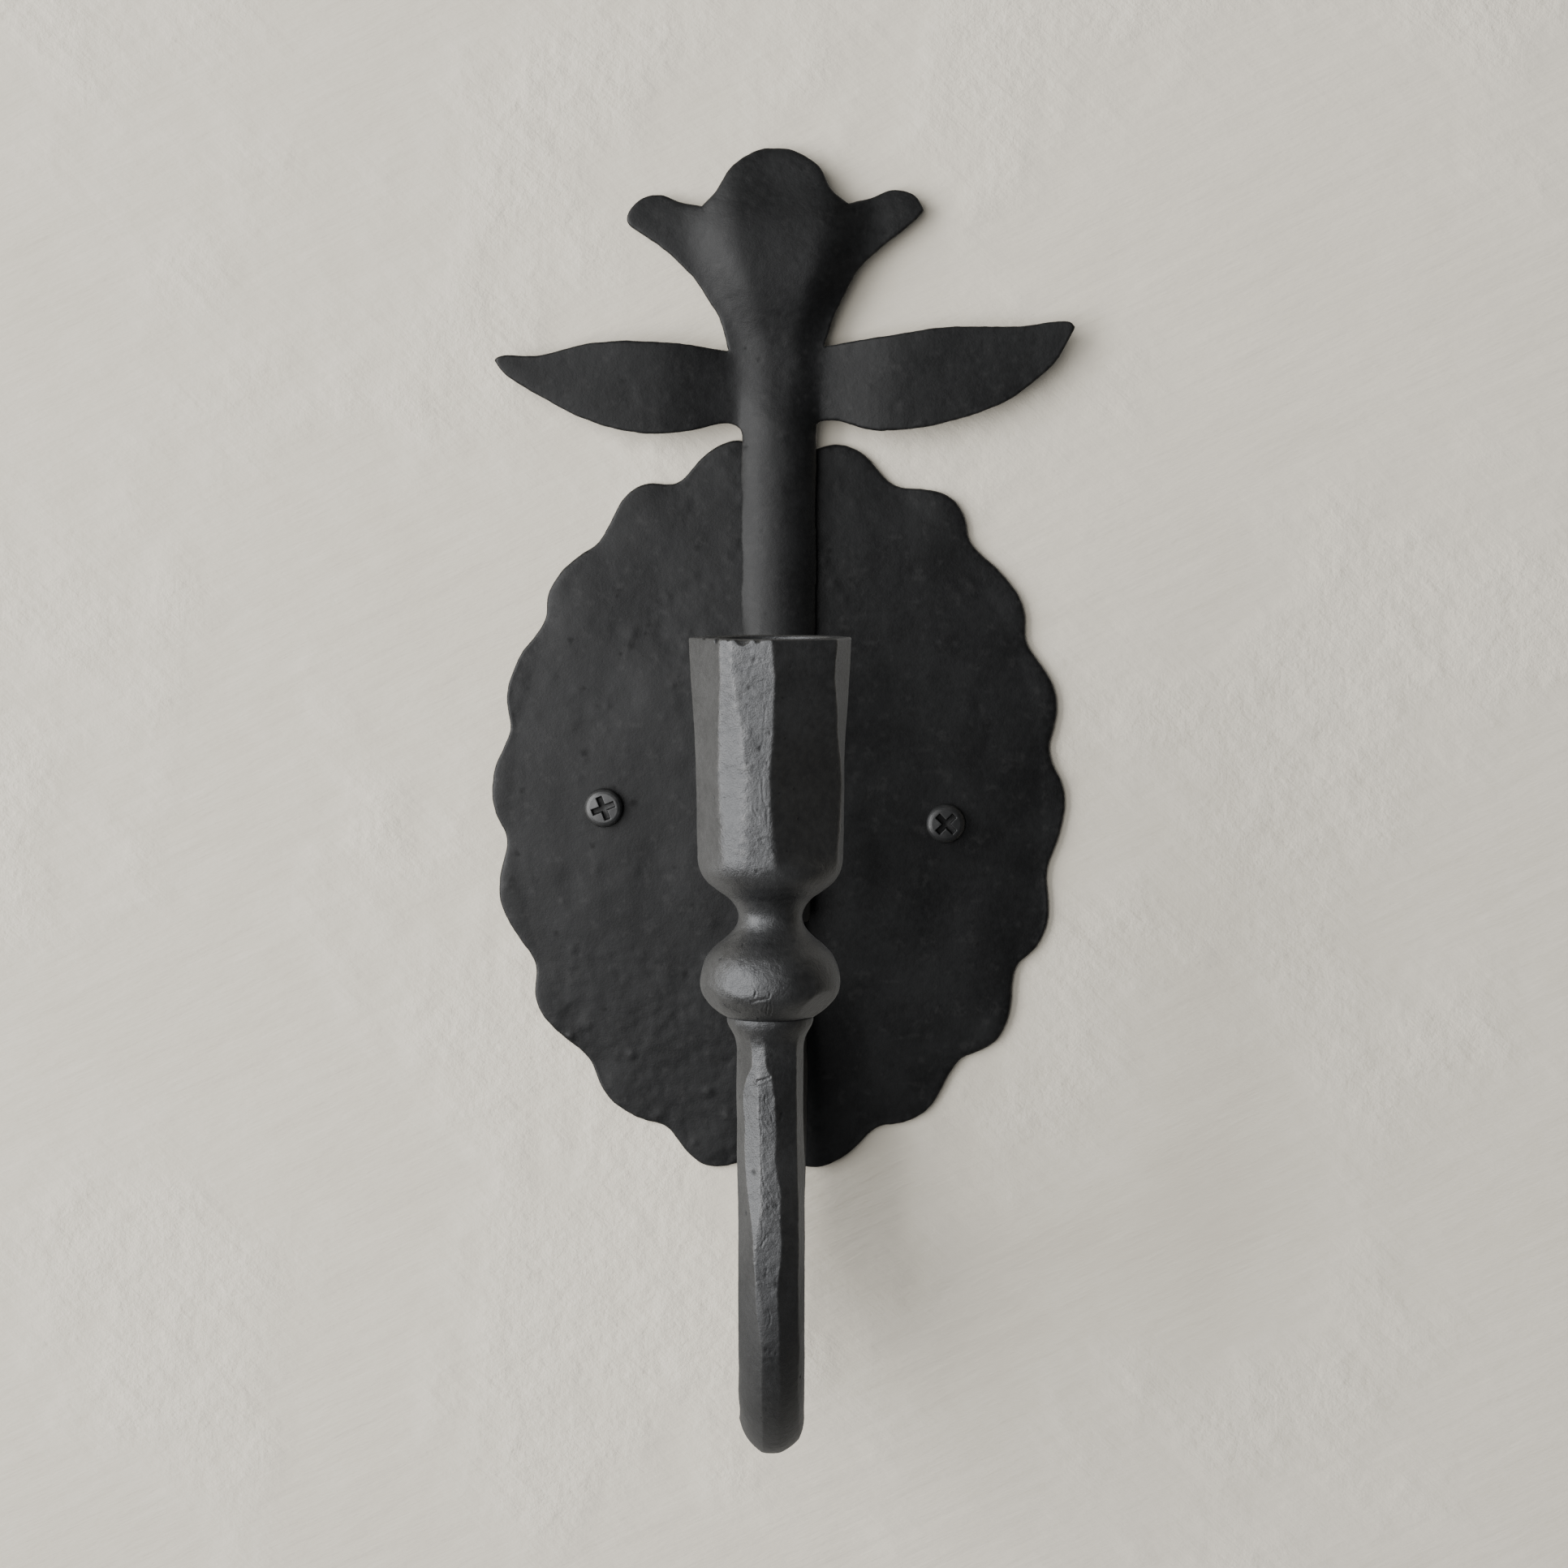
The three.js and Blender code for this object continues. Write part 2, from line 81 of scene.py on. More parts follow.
SHEET_THICKNESS = 1.5
STEM_X = node_box("rivet_upper")[2][0]
STEM_HALF_WIDTH = 8.0
STEM_CROWN = 4.5
UPPER_CROWN = 3.0
STEM_END_Z = STEM_LOW[2]
STEM_EDGE_OUT = 8.0
STEM_LEAN = 0.037
LEAN_ENDS_Z = 92.0

BEND_RADIUS = 34.0
BAR_HALF_WIDTH = 6.3
PALM_HALF_WIDTH = 5.0
PALM_HALF_DEPTH = 1.6
PALM_TOP_Z = ARM_HIGH[2]
BEND_CENTRE_Z = ARM_LOW[2] + BAR_HALF_WIDTH + BEND_RADIUS
BEND_X = -0.8
CUP_X = CUP_MIDDLE[0]
CUP_OUT = -CUP_MIDDLE[1]
RIM_Z = CUP_HIGH[2]
KNOB_BOTTOM_Z = CUP_LOW[2]
BRAZED_GAP = 0.04  # the braze fills the rest
BORE_RADIUS = 11.4
SEAT_Z = frame["record"]["mounts"][2]["pos_m"][2] / MM
TENON_RADIUS = 4.0
TENON_LENGTH = 10.0

RIVETS = {name: node_box(name)[2][2] for name in ("rivet_upper", "rivet_lower")}
RIVET_RADIUS = 2.4
RIVET_HEAD_RADIUS = 4.7
SCREW_HOLE_RADIUS = 2.6
SCREWS = {side: node_box("wall_screw_" + side)[2] for side in ("left", "right")}
SCREW_TURN = {"left": 22.0, "right": 45.0}

# ---- Noise -------------------------------------------------------------------------------------------------


def smoothstep(x, low, high):
    t = np.clip((x - low) / (high - low), 0.0, 1.0)
    return t * t * (3.0 - 2.0 * t)


def smootherstep(x, low, high):
    t = np.clip((x - low) / (high - low), 0.0, 1.0)
    return t**3 * (t * (t * 6.0 - 15.0) + 10.0)


def hashed(cells, seed):
    """A number from 0 to 1 for each whole-number cell (N, 3), always the same for the same seed."""
    mixed = (cells[:, 0] * 73856093) ^ (cells[:, 1] * 19349663) ^ (cells[:, 2] * 83492791)
    mixed = (mixed ^ (seed * 2654435761)) & 0xFFFFFFFF
    for _ in range(2):
        mixed = ((mixed ^ (mixed >> 16)) * 0x45D9F3B) & 0xFFFFFFFF
    return (mixed ^ (mixed >> 16)) / 4294967296.0


def noise(points, size, seed):
    """Smooth noise from -1 to 1 at points (N, 3), with lumps of about that size."""
    place = points / size
    cell = np.floor(place).astype(np.int64)
    part = place - cell
    part = part * part * part * (part * (part * 6.0 - 15.0) + 10.0)
    total = np.zeros(len(points))
    for corner in range(8):
        step = np.array([corner & 1, (corner >> 1) & 1, corner >> 2])
        weight = np.prod(np.where(step, part, 1.0 - part), axis=1)
        total += weight * hashed(cell + step, seed)
    return total * 2.0 - 1.0


def rough_noise(points, size, seed, octaves=3):
    """Noise with finer and finer lumps on it."""
    total = np.zeros(len(points))
    for octave in range(octaves):
        total += noise(points, size / 2**octave, seed + octave) / 2**octave
    return total / 1.6


def spots(points, size, seed):
    """For each point, the distance to the nearest of the scattered spots, one per cell of that size, and the
    number from 0 to 1 that belongs to that spot. Distances are in millimetres."""
    cell = np.floor(points / size).astype(np.int64)
    nearest = np.full(len(points), 1e9)
    own = np.zeros(len(points))
    for index in range(27):
        step = np.array([index % 3 - 1, index // 3 % 3 - 1, index // 9 - 1])
        at = cell + step
        spot = np.stack([hashed(at, seed + axis) for axis in range(3)], axis=1)
        away = np.linalg.norm((at + spot) * size - points, axis=1)
        closer = away < nearest
        nearest = np.where(closer, away, nearest)
        own = np.where(closer, hashed(at, seed + 3), own)
    return nearest, own


def pits(points, size, share, radius, seed):
    """Round hollows, 0 to 1 deep, on that share of the spots."""
    away, own = spots(points, size, seed)
    own_radius = radius * (0.5 + 0.9 * np.mod(own * 37.0, 1.0))
    return (own < share) * (1.0 - smoothstep(away, 0.35 * own_radius, own_radius))


GROOVE_WOBBLE = 0.35  # how far a crack strays from its path


def groove(at, path, width, depth, seed):
    """A crack or fold along a path of 2-D points: minus depth in its bottom, with a raised lip beside it."""
    place = np.pad(at, ((0, 0), (0, 1)))
    bent = at + GROOVE_WOBBLE * np.stack([noise(place, 1.3, seed + k) for k in range(2)], axis=1)
    away = np.full(len(at), 1e9)
    for start, end in zip(np.array(path[:-1], float), np.array(path[1:], float)):
        along = end - start
        share = np.clip((bent - start) @ along / (along @ along), 0.0, 1.0)
        away = np.minimum(away, np.linalg.norm(bent - start - share[:, None] * along, axis=1))
    return depth * (0.45 * np.exp(-((away / width - 1.6) ** 2)) - np.exp(-((away / width) ** 2)))


def plateau(value, middle, half):
    """1 within about half of the middle and 0 beyond, with soft sides."""
    return np.exp(-(((value - middle) / half) ** 4))


def dimple(x, y, spot):
    """1 in the middle of a round spot, given as its x, y and radius, and 0 outside it."""
    return np.exp(-(((x - spot[0]) ** 2 + (y - spot[1]) ** 2) / spot[2]**2))


def along_line(values):
    """Points that follow one number, for noise that changes along a line only."""
    return np.column_stack([values, values, values])


# ---- Curves and outlines -----------------------------------------------------------------------------------


def spline(points, closed=False, per_span=24):
    """A smooth centripetal curve through the points, sampled per_span times between each two."""
    points = np.array(points, float)
    count = len(points)
    if closed:
        ring = np.vstack([points[-1], points, points[:2]])
    else:
        ring = np.vstack([2 * points[0] - points[1], points, 2 * points[-1] - points[-2]])
    out = []
    for i in range(count if closed else count - 1):
        p = ring[i:i + 4]
        knots = np.concatenate([[0.0], np.cumsum(np.sqrt(np.linalg.norm(np.diff(p, axis=0), axis=1)))])
        t = np.linspace(knots[1], knots[2], per_span, endpoint=False)[:, None]

        def between(a, b, low, high):
            return ((high - t) * a + (t - low) * b) / (high - low)

        a = [between(p[k], p[k + 1], knots[k], knots[k + 1]) for k in range(3)]
        b = [between(a[k], a[k + 1], knots[k], knots[k + 2]) for k in range(2)]
        out.append(between(b[0], b[1], knots[1], knots[2]))
    if not closed:
        out.append(points[-1:])
    return np.vstack(out)


def evenly(points, step, closed=True):
    """The same line with points every step or so."""
    line = np.vstack([points, points[:1]]) if closed else points
    length = np.concatenate([[0.0], np.cumsum(np.linalg.norm(np.diff(line, axis=0), axis=1))])
    count = max(8, round(length[-1] / step))
    at = np.linspace(0.0, length[-1], count, endpoint=not closed)
    return np.stack([np.interp(at, length, line[:, k]) for k in range(line.shape[1])], axis=1)


def left_normals(points):
    """Unit normals of a closed line, to the left of its direction, which is inwards on one that runs
    round."""
    along = np.roll(points, -1, axis=0) - np.roll(points, 1, axis=0)
    normal = np.stack([-along[:, 1], along[:, 0]], axis=1)
    return normal / np.linalg.norm(normal, axis=1, keepdims=True)


def distance_to(points, loop):
    """Distance from each 2-D point to a closed line."""
    nearest = np.full(len(points), 1e9)
    ends = np.roll(loop, -1, axis=0)
    for start, end in zip(loop, ends):
        along = end - start
        share = np.clip((points - start) @ along / max(along @ along, 1e-12), 0.0, 1.0)
        nearest = np.minimum(nearest, np.linalg.norm(points - start - share[:, None] * along, axis=1))
    return nearest


def inside(points, loop):
    """Whether each 2-D point is inside a closed line."""
    result = np.zeros(len(points), bool)
    ends = np.roll(loop, -1, axis=0)
    for (x0, z0), (x1, z1) in zip(loop, ends):
        crosses = (z0 > points[:, 1]) != (z1 > points[:, 1])
        with np.errstate(divide="ignore", invalid="ignore"):
            where = x0 + (points[:, 1] - z0) * (x1 - x0) / (z1 - z0)
        result ^= crosses & (points[:, 0] < where)
    return result


# ---- Meshes ------------------------------------------------------------------------------------------------


def make_piece(name, points, faces, slot, nodes, material, **layers):
    """A smooth-shaded mesh object from points in millimetres, riding on the one body and standing for CAD
    nodes. Each layer is a number per vertex that its material reads."""
    mesh = bpy.data.meshes.new(name)
    mesh.from_pydata((points * MM).tolist(), [], faces)
    mesh.update()
    for layer, values in layers.items():
        attribute = mesh.attributes.new(layer, "FLOAT", "POINT")
        attribute.data.foreach_set("value", np.asarray(values, np.float32))
    mesh.polygons.foreach_set("use_smooth", [True] * len(mesh.polygons))
    mesh.materials.append(material.material)
    piece = bpy.data.objects.new(name, mesh)
    bpy.context.scene.collection.objects.link(piece)
    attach(piece, "root")
    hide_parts(*nodes)
    return piece


EDGE_RINGS = (0.0, 0.05, 0.16, 0.34, 0.62, 1.0)  # extra rings of points this far in from a sheet's cut edge


def sheet_plan(outline, holes, cell):
    """A flat triangle mesh of the sheet: points (N, 2), triangles, and each point's distance from a cut
    edge."""
    loops = [outline, *holes]
    low, high = outline.min(0), outline.max(0)
    grid_x, grid_z = np.meshgrid(
        np.arange(low[0], high[0], cell), np.arange(low[1], high[1], cell * math.sqrt(0.75))
    )
    grid_x[1::2] += cell / 2
    grid = np.column_stack([grid_x.ravel(), grid_z.ravel()])
    grid = grid[inside(grid, outline)]
    away = np.min([distance_to(grid, loop) for loop in loops], axis=0)
    keep = away > EDGE_RINGS[-1] + 0.5 * cell
    for hole in holes:
        keep &= ~inside(grid, hole)
    points, distance = [grid[keep]], [away[keep]]
    for loop in loops:
        normals = left_normals(loop)
        for depth in EDGE_RINGS[1:]:
            ring = loop + normals * depth
            true_depth = np.min([distance_to(ring, other) for other in loops], axis=0)
            good = true_depth > 0.93 * depth
            points.append(ring[good])
            distance.append(true_depth[good])
    edges = []
    start = sum(len(p) for p in points)
    for loop in loops:
        points.append(loop)
        distance.append(np.zeros(len(loop)))
        count = len(loop)
        edges += [(start + i, start + (i + 1) % count) for i in range(count)]
        start += count
    points = np.vstack(points)
    distance = np.concatenate(distance)
    verts, _, faces, origin, _, _ = delaunay_2d_cdt([Vector(p) for p in points], edges, [], 0, 1e-6, True)
    flat = np.array([v[:] for v in verts])
    depth = np.array([distance[o[0]] if o else 0.0 for o in origin])
    triangles = np.array([f for f in faces if len(f) == 3])
    middle = flat[triangles].mean(1)
    good = inside(middle, outline)
    for hole in holes:
        good &= ~inside(middle, hole)
    triangles = triangles[good]
    a, b, c = flat[triangles[:, 0]], flat[triangles[:, 1]], flat[triangles[:, 2]]
    area = (b[:, 0] - a[:, 0]) * (c[:, 1] - a[:, 1]) - (b[:, 1] - a[:, 1]) * (c[:, 0] - a[:, 0])
    triangles[area < 0] = triangles[area < 0][:, ::-1]
    used = np.unique(triangles)
    renumber = np.full(len(flat), -1)
    renumber[used] = np.arange(len(used))
    return flat[used], renumber[triangles], depth[used]


def formed_sheet(outline, holes, cell, front_at, thickness, relief, back_relief, edge_radius, thinned):
    """The solid sheet: points, faces and each point's distance from the cut edge. front_at(x, z) is how far
    the front stands off the wall; the reliefs are fine heights on the two faces; thinned(d) is how much
    thinner the sheet is at the distance d from its outline."""
    flat, triangles, depth = sheet_plan(outline, holes, cell)
    thinner = thinned(distance_to(flat, outline))
    x, z = flat[:, 0], flat[:, 1]
    out = front_at(x, z)
    step = 0.05
    slope_x = (front_at(x + step, z) - front_at(x - step, z)) / (2 * step)
    slope_z = (front_at(x, z + step) - front_at(x, z - step)) / (2 * step)
    normal = np.column_stack([-slope_x, -np.ones(len(x)), -slope_z])
    normal /= np.linalg.norm(normal, axis=1, keepdims=True)
    rounded = np.clip(edge_radius - depth, 0.0, edge_radius)
    drop = edge_radius - np.sqrt(edge_radius**2 - rounded**2)
    base = np.column_stack([x, -out, z])
    at_edge = smoothstep(depth, 0.0, 1.2)
    front = base + normal * (relief(x, z) * (0.4 + 0.6 * at_edge) - drop - thinner)[:, None]
    back = base - normal * (thickness - drop - back_relief(x, z) * at_edge)[:, None]
    count = len(x)
    edges = np.vstack([triangles[:, [0, 1]], triangles[:, [1, 2]], triangles[:, [2, 0]]])
    keys = edges[:, 0] * count + edges[:, 1]
    other = edges[:, 1] * count + edges[:, 0]
    rim = edges[~np.isin(keys, other)]
    faces = triangles.tolist()
    faces += (triangles[:, ::-1] + count).tolist()
    faces += [[b, a, a + count, b + count] for a, b in rim.tolist()]
    return np.vstack([front, back]), faces, np.concatenate([depth, depth])


def tube_faces(rows, around, close_start=None, close_end=None):
    """Faces of a grid of rows of points that each run round; close_start and close_end are the numbers of the
    single points that the ends run together in."""
    faces = []
    for i in range(rows - 1):
        a, b = i * around, (i + 1) * around
        faces += [[a + j, a + (j + 1) % around, b + (j + 1) % around, b + j] for j in range(around)]
    last = (rows - 1) * around
    if close_start is not None:
        faces += [[close_start, (j + 1) % around, j] for j in range(around)]
    if close_end is not None:
        faces += [[close_end, last + j, last + (j + 1) % around] for j in range(around)]
    return faces


def grid_normals(grid):
    """Outward unit normals of a grid (rows, around, 3) of points that runs round in its second direction."""
    along = np.gradient(grid, axis=0)
    round_it = np.roll(grid, -1, axis=1) - np.roll(grid, 1, axis=1)
    normal = np.cross(round_it, along)
    return normal / np.maximum(np.linalg.norm(normal, axis=2, keepdims=True), 1e-9)


def front_turns(front, back):
    """Angles once round from the back, in radians, closer together on the front than on the back."""
    half = math.radians(97.0)
    seen = np.linspace(-half, half, front)
    hidden = np.linspace(half, 2.0 * math.pi - half, back + 2)[1:-1]
    return np.sort(np.concatenate([seen, np.mod(hidden + math.pi, 2.0 * math.pi) - math.pi]))[None, :]


def flats(turn, directions, distances, sharpness):
    """Radius of a bar of flats at each angle. A flat faces each direction at its distance from the middle.
    Also how close the point is to an edge between two flats, 0 to 1."""
    reach = np.stack([np.cos(turn - d) / r for d, r in zip(directions, distances)])
    reach = np.clip(reach, 1e-3, None)
    radius = np.sum(reach**sharpness, axis=0) ** (-1.0 / sharpness)
    ranked = np.sort(reach, axis=0)
    return radius, np.exp(-(ranked[-1] - ranked[-2]) / 0.02)


PRESSED_SOFTNESS = 0.08  # how gradually a dressed flat meets the round


def pressed(points, direction, distance, middle):
    """Presses points beyond a plane back to it. The plane faces direction, at distance from the middle
    point."""
    direction = np.array(direction, float)
    direction /= np.linalg.norm(direction)
    beyond = (points - middle) @ direction - distance
    moved = PRESSED_SOFTNESS * np.logaddexp(0.0, beyond / PRESSED_SOFTNESS)
    return points - moved[..., None] * direction


# ---- Materials ---------------------------------------------------------------------------------------------


class Finish:
    """A material with one Principled shader, and short calls that add nodes to it."""

    def __init__(self, name):
        self.material = bpy.data.materials.new(name)
        self.material.use_nodes = True
        self.tree = self.material.node_tree
        self.shader = self.tree.nodes["Principled BSDF"]
        self.place = self.tree.nodes.new("ShaderNodeTexCoord").outputs["Object"]

    def put(self, socket, value):
        if isinstance(value, bpy.types.NodeSocket):
            self.tree.links.new(value, socket)
        else:
            socket.default_value = value

    def noise(self, size_mm, detail=3.0, roughness=0.55, stretch=(1.0, 1.0, 1.0), turned=0.0):
        """Noise from 0 to 1 with lumps of that size, drawn out where stretch is less than 1 and turned that
        many degrees about Y."""
        turn = self.tree.nodes.new("ShaderNodeVectorRotate")
        turn.rotation_type = "Y_AXIS"
        self.put(turn.inputs["Vector"], self.place)
        self.put(turn.inputs["Angle"], math.radians(turned))
        spread = self.tree.nodes.new("ShaderNodeVectorMath")
        spread.operation = "MULTIPLY"
        self.put(spread.inputs[0], turn.outputs["Vector"])
        self.put(spread.inputs[1], stretch)
        texture = self.tree.nodes.new("ShaderNodeTexNoise")
        self.put(texture.inputs["Vector"], spread.outputs[0])
        self.put(texture.inputs["Scale"], 1.0 / (size_mm * MM))
        self.put(texture.inputs["Detail"], detail)
        self.put(texture.inputs["Roughness"], roughness)
        return texture.outputs["Fac"]

    def layer(self, name):
        """A number that the mesh carries at each vertex."""
        node = self.tree.nodes.new("ShaderNodeAttribute")
        node.attribute_name = name
        return node.outputs["Fac"]

    def maths(self, operation, a, b=0.0, clamp=False):
        node = self.tree.nodes.new("ShaderNodeMath")
        node.operation = operation
        node.use_clamp = clamp
        self.put(node.inputs[0], a)
        self.put(node.inputs[1], b)
        return node.outputs[0]

    def ramp(self, value, low, high, to_low=0.0, to_high=1.0):
        node = self.tree.nodes.new("ShaderNodeMapRange")
        node.interpolation_type = "SMOOTHSTEP"
        for socket, number in zip(node.inputs[:5], (value, low, high, to_low, to_high)):
            self.put(socket, number)
        return node.outputs[0]

    def blend(self, share, a, b):
        node = self.tree.nodes.new("ShaderNodeMix")
        node.data_type = "RGBA"
        self.put(node.inputs["Factor"], share)
        self.put(node.inputs["A"], a)
        self.put(node.inputs["B"], b)
        return node.outputs["Result"]

    def bump(self, height, depth_mm, under=None):
        node = self.tree.nodes.new("ShaderNodeBump")
        self.put(node.inputs["Height"], height)
        self.put(node.inputs["Distance"], depth_mm * MM)
        if under is not None:
            self.put(node.inputs["Normal"], under)
        return node.outputs["Normal"]

    def set(self, **sockets):
        for name, value in sockets.items():
            self.put(self.shader.inputs[name.replace("_", " ")], value)
        return self


def grey(level, warmth=0.0):
    return (level * (1.0 + warmth), level, level * (1.0 - warmth), 1.0)


def blackened_iron(name, dark, light, worn, roughness, grain_mm, grain_depth, warmth=-0.03):
    """Waxed black scale on iron: blotchy in tone and gloss, finely grained, rubbed lighter on its edges (the
    layer wear), dull and dark in its pits, chips and scale, and darkened as painted shade on the arm's bend
    and in the screws' cross recesses (the layer pit)."""
    finish = Finish(name)
    broad = finish.noise(11.0, 4.0)
    fine = finish.noise(1.3, 5.0, 0.6)
    grain = finish.noise(grain_mm, 3.0, 0.6)
    tone = finish.maths("ADD", finish.maths("MULTIPLY", broad, 0.6), finish.maths("MULTIPLY", fine, 0.4))
    colour = finish.blend(finish.ramp(tone, 0.32, 0.68), grey(dark, warmth), grey(light, warmth))
    rubbed = finish.maths("MULTIPLY", finish.layer("wear"), finish.ramp(fine, 0.35, 0.65), clamp=True)
    colour = finish.blend(finish.maths("MULTIPLY", rubbed, 0.75), colour, grey(worn, 0.02))
    pits_scale_and_painted_shade = finish.layer("pit")
    # Darkens pits, chips and scale, and lays painted shade on the arm's bend and in the screws' cross
    # recesses.
    colour = finish.blend(finish.maths("MULTIPLY", pits_scale_and_painted_shade, 0.7), colour, grey(dark * 0.35))
    gloss = finish.ramp(finish.maths("ADD", finish.maths("MULTIPLY", fine, 0.5),
                                     finish.maths("MULTIPLY", broad, 0.5)),
                        0.3, 0.7, roughness[0], roughness[1])
    gloss = finish.maths("SUBTRACT", gloss, finish.maths("MULTIPLY", rubbed, 0.1))
    gloss = finish.maths("ADD", gloss, finish.maths("MULTIPLY", pits_scale_and_painted_shade, 0.2), clamp=True)
    shape = finish.bump(fine, grain_depth * 1.6)
    shape = finish.bump(grain, grain_depth, shape)
    finish.set(Base_Color=colour, Roughness=gloss, Normal=shape)
    return finish


SHEET_IRON = blackened_iron("sheet_iron", 0.0045, 0.0095, 0.035, (0.45, 0.55), 0.45, 0.034)
SHEET_IRON.shader.inputs["Specular IOR Level"].default_value = 0.21
FORGED_IRON = blackened_iron("forged_iron", 0.041, 0.066, 0.085, (0.37, 0.48), 0.34, 0.080, -0.005)
FORGED_IRON.shader.inputs["Metallic"].default_value = 0.65
FORGED_IRON.shader.inputs["Specular Tint"].default_value = (0.60, 0.64, 0.72, 1.0)
SCREW_STEEL = blackened_iron("screw_steel", 0.008, 0.015, 0.04, (0.40, 0.50), 0.25, 0.010)


def nylon():
    """Grey moulded nylon: nearly even in colour, faintly flowed and slightly shiny."""
    finish = Finish("plug_nylon")
    flow = finish.noise(6.0, 3.0, 0.5, (1.0, 0.25, 1.0))
    fine = finish.noise(0.5, 3.0)
    colour = finish.blend(flow, grey(0.29), grey(0.37))
    return finish.set(Base_Color=colour, Roughness=finish.ramp(fine, 0.3, 0.7, 0.42, 0.58),
                      Normal=finish.bump(fine, 0.01))


PLUG_NYLON = nylon()

# ---- Backplate ---------------------------------------------------------------------------------------------

# The hand-cut scallops, [x, z] from the top crest on the left and on round: a crest, then the valley after.
PLATE_SCALLOPS = [
    (-10.3, 76.1), (-21.3, 67.6), (-29.8, 66.5), (-37.6, 55.2), (-46.7, 47.4), (-49.2, 38.3),
    (-56.4, 26.3), (-56.5, 15.4), (-60.4, 2.4), (-57.2, -7.6), (-58.5, -20.8), (-51.3, -33.9),
    (-50.4, -43.7), (-40.4, -53.8), (-34.5, -63.8), (-23.6, -68.9), (-14.9, -77.0), (-2.5, -74.6),
    (9.4, -77.2), (21.4, -68.8), (30.4, -66.1), (38.1, -54.8), (47.1, -49.3), (50.3, -34.9),
    (56.3, -27.4), (56.8, -14.1), (60.5, 0.1), (57.2, 11.1), (58.4, 23.1), (52.3, 34.0),
    (50.6, 43.7), (40.9, 54.6), (36.4, 64.3), (24.4, 67.0), (14.7, 75.2), (2.5, 73.0),
]
CREST_FULLNESS = 0.35  # the crests are this much fuller between crest and valley than the plain curve
SHEET_STEP = 0.5  # spacing of points along a cut edge


def flat3(x, z):
    return np.column_stack([x, np.zeros(len(x)), z])


def plate_back_at(x, z):
    within = 1.0 - (x / DISH_HALF_WIDTH) ** 2 - (z / DISH_HALF_HEIGHT) ** 2
    return PLATE_DISH * np.clip(within, 0.0, None) ** DISH_POWER


def plate_front_at(x, z):
    return plate_back_at(x, z) + PLATE_THICKNESS


def hand_cut(loop, seed):
    """The same loop with the small unevenness of a hand-cut edge."""
    at = flat3(loop[:, 0], loop[:, 1])
    uneven = 0.12 * noise(at, 4.0, seed) + 0.05 * noise(at, 1.2, seed + 1)
    return loop + left_normals(loop) * uneven[:, None]


def circle(x, z, radius, count=40):
    """A round hole's edge, run the other way round from an outline, so that its left is in the metal."""
    turn = np.linspace(0.0, -2.0 * math.pi, count, endpoint=False)
    return np.column_stack([x + radius * np.cos(turn), z + radius * np.sin(turn)])


def plate_outline():
    per_span = 24
    loop = spline(PLATE_SCALLOPS, closed=True, per_span=per_span)
    share = np.tile(np.arange(per_span) / per_span, len(PLATE_SCALLOPS))
    loop = loop - left_normals(loop) * (CREST_FULLNESS * np.sin(math.pi * share) ** 2)[:, None]
    loop = hand_cut(evenly(loop, SHEET_STEP), 11)
    nick = np.exp(-(((loop - [-58.0, -25.0]) ** 2).sum(1)) / 0.7**2)
    return loop + left_normals(loop) * (0.55 * nick)[:, None]


def plate_relief(x, z):
    """Hammered and scaled: broad ripples, shallow blows, blisters and pits. Coarser towards the left."""
    at = flat3(x, z)
    left = 0.35 + 0.65 * smoothstep(-x, -22.0, 22.0)
    patchy = 0.35 + 0.65 * smoothstep(noise(at, 19.0, 27), -0.15, 0.35)
    ripples = 0.32 * noise(at, 21.0, 21) + 0.13 * noise(at * [1.0, 1.0, 0.7], 8.5, 22)
    blow, own = spots(at, 8.0, 23)
    blows = -0.15 * own * (1.0 - smoothstep(blow, 0.4, 4.0))
    blister, kind = spots(at, 3.9, 24)
    size = 0.5 + 0.6 * np.mod(kind * 53.0, 1.0)
    blisters = 0.32 * (kind < 0.40) * np.exp(-((blister / size) ** 2))
    small = 0.105 * rough_noise(at, 2.4, 25, 3) + 0.030 * noise(at, 1.1, 28)
    hollows = 0.14 * pits(at, 3.8, 0.25, 0.8, 29)
    return ripples + left * (blows + patchy * (blisters + small - hollows))


def drawn_edge(depth):
    """How much thinner the sheet is near its cut edge, where it was hammered out."""
    return 0.75 * np.exp(-depth / 3.4)


def backplate():
    holes = [circle(x, z, SCREW_HOLE_RADIUS) for x, _, z in SCREWS.values()]
    holes += [circle(STEM_X, z, RIVET_RADIUS + GAP) for z in RIVETS.values()]
    points, faces, depth = formed_sheet(
        plate_outline(), holes, 0.70, plate_front_at, PLATE_THICKNESS, plate_relief,
        lambda x, z: 0.10 * noise(flat3(x, z), 9.0, 31) + 0.04 * rough_noise(flat3(x, z), 2.4, 32), 0.5,
        drawn_edge,
    )
    at = flat3(points[:, 0], points[:, 2])
    wear = 0.7 * np.exp(-depth / 0.35) + 0.25 * (noise(at, 1.7, 33) > 0.62)
    pit = pits(at, 3.4, 0.30, 0.8, 29)
    make_piece("backplate_hammered", points, faces, "sheet_iron", ["backplate"], SHEET_IRON, wear=wear,
               pit=pit)


# ---- Floral stem -------------------------------------------------------------------------------------------


def half_round_at(away, z):
    """How far a point of the half-round stem stands out of the stem's edges, softly ending at them."""
    crown = STEM_CROWN + (UPPER_CROWN - STEM_CROWN) * smootherstep(z, 28.0, 46.0)
    radius = (STEM_HALF_WIDTH**2 + crown**2) / (2.0 * crown)
    arch = np.sqrt(np.clip(radius**2 - away**2, 1.0, None)) - (radius - crown)
    soft = 0.3
    return soft * np.logaddexp(0.0, arch / soft)


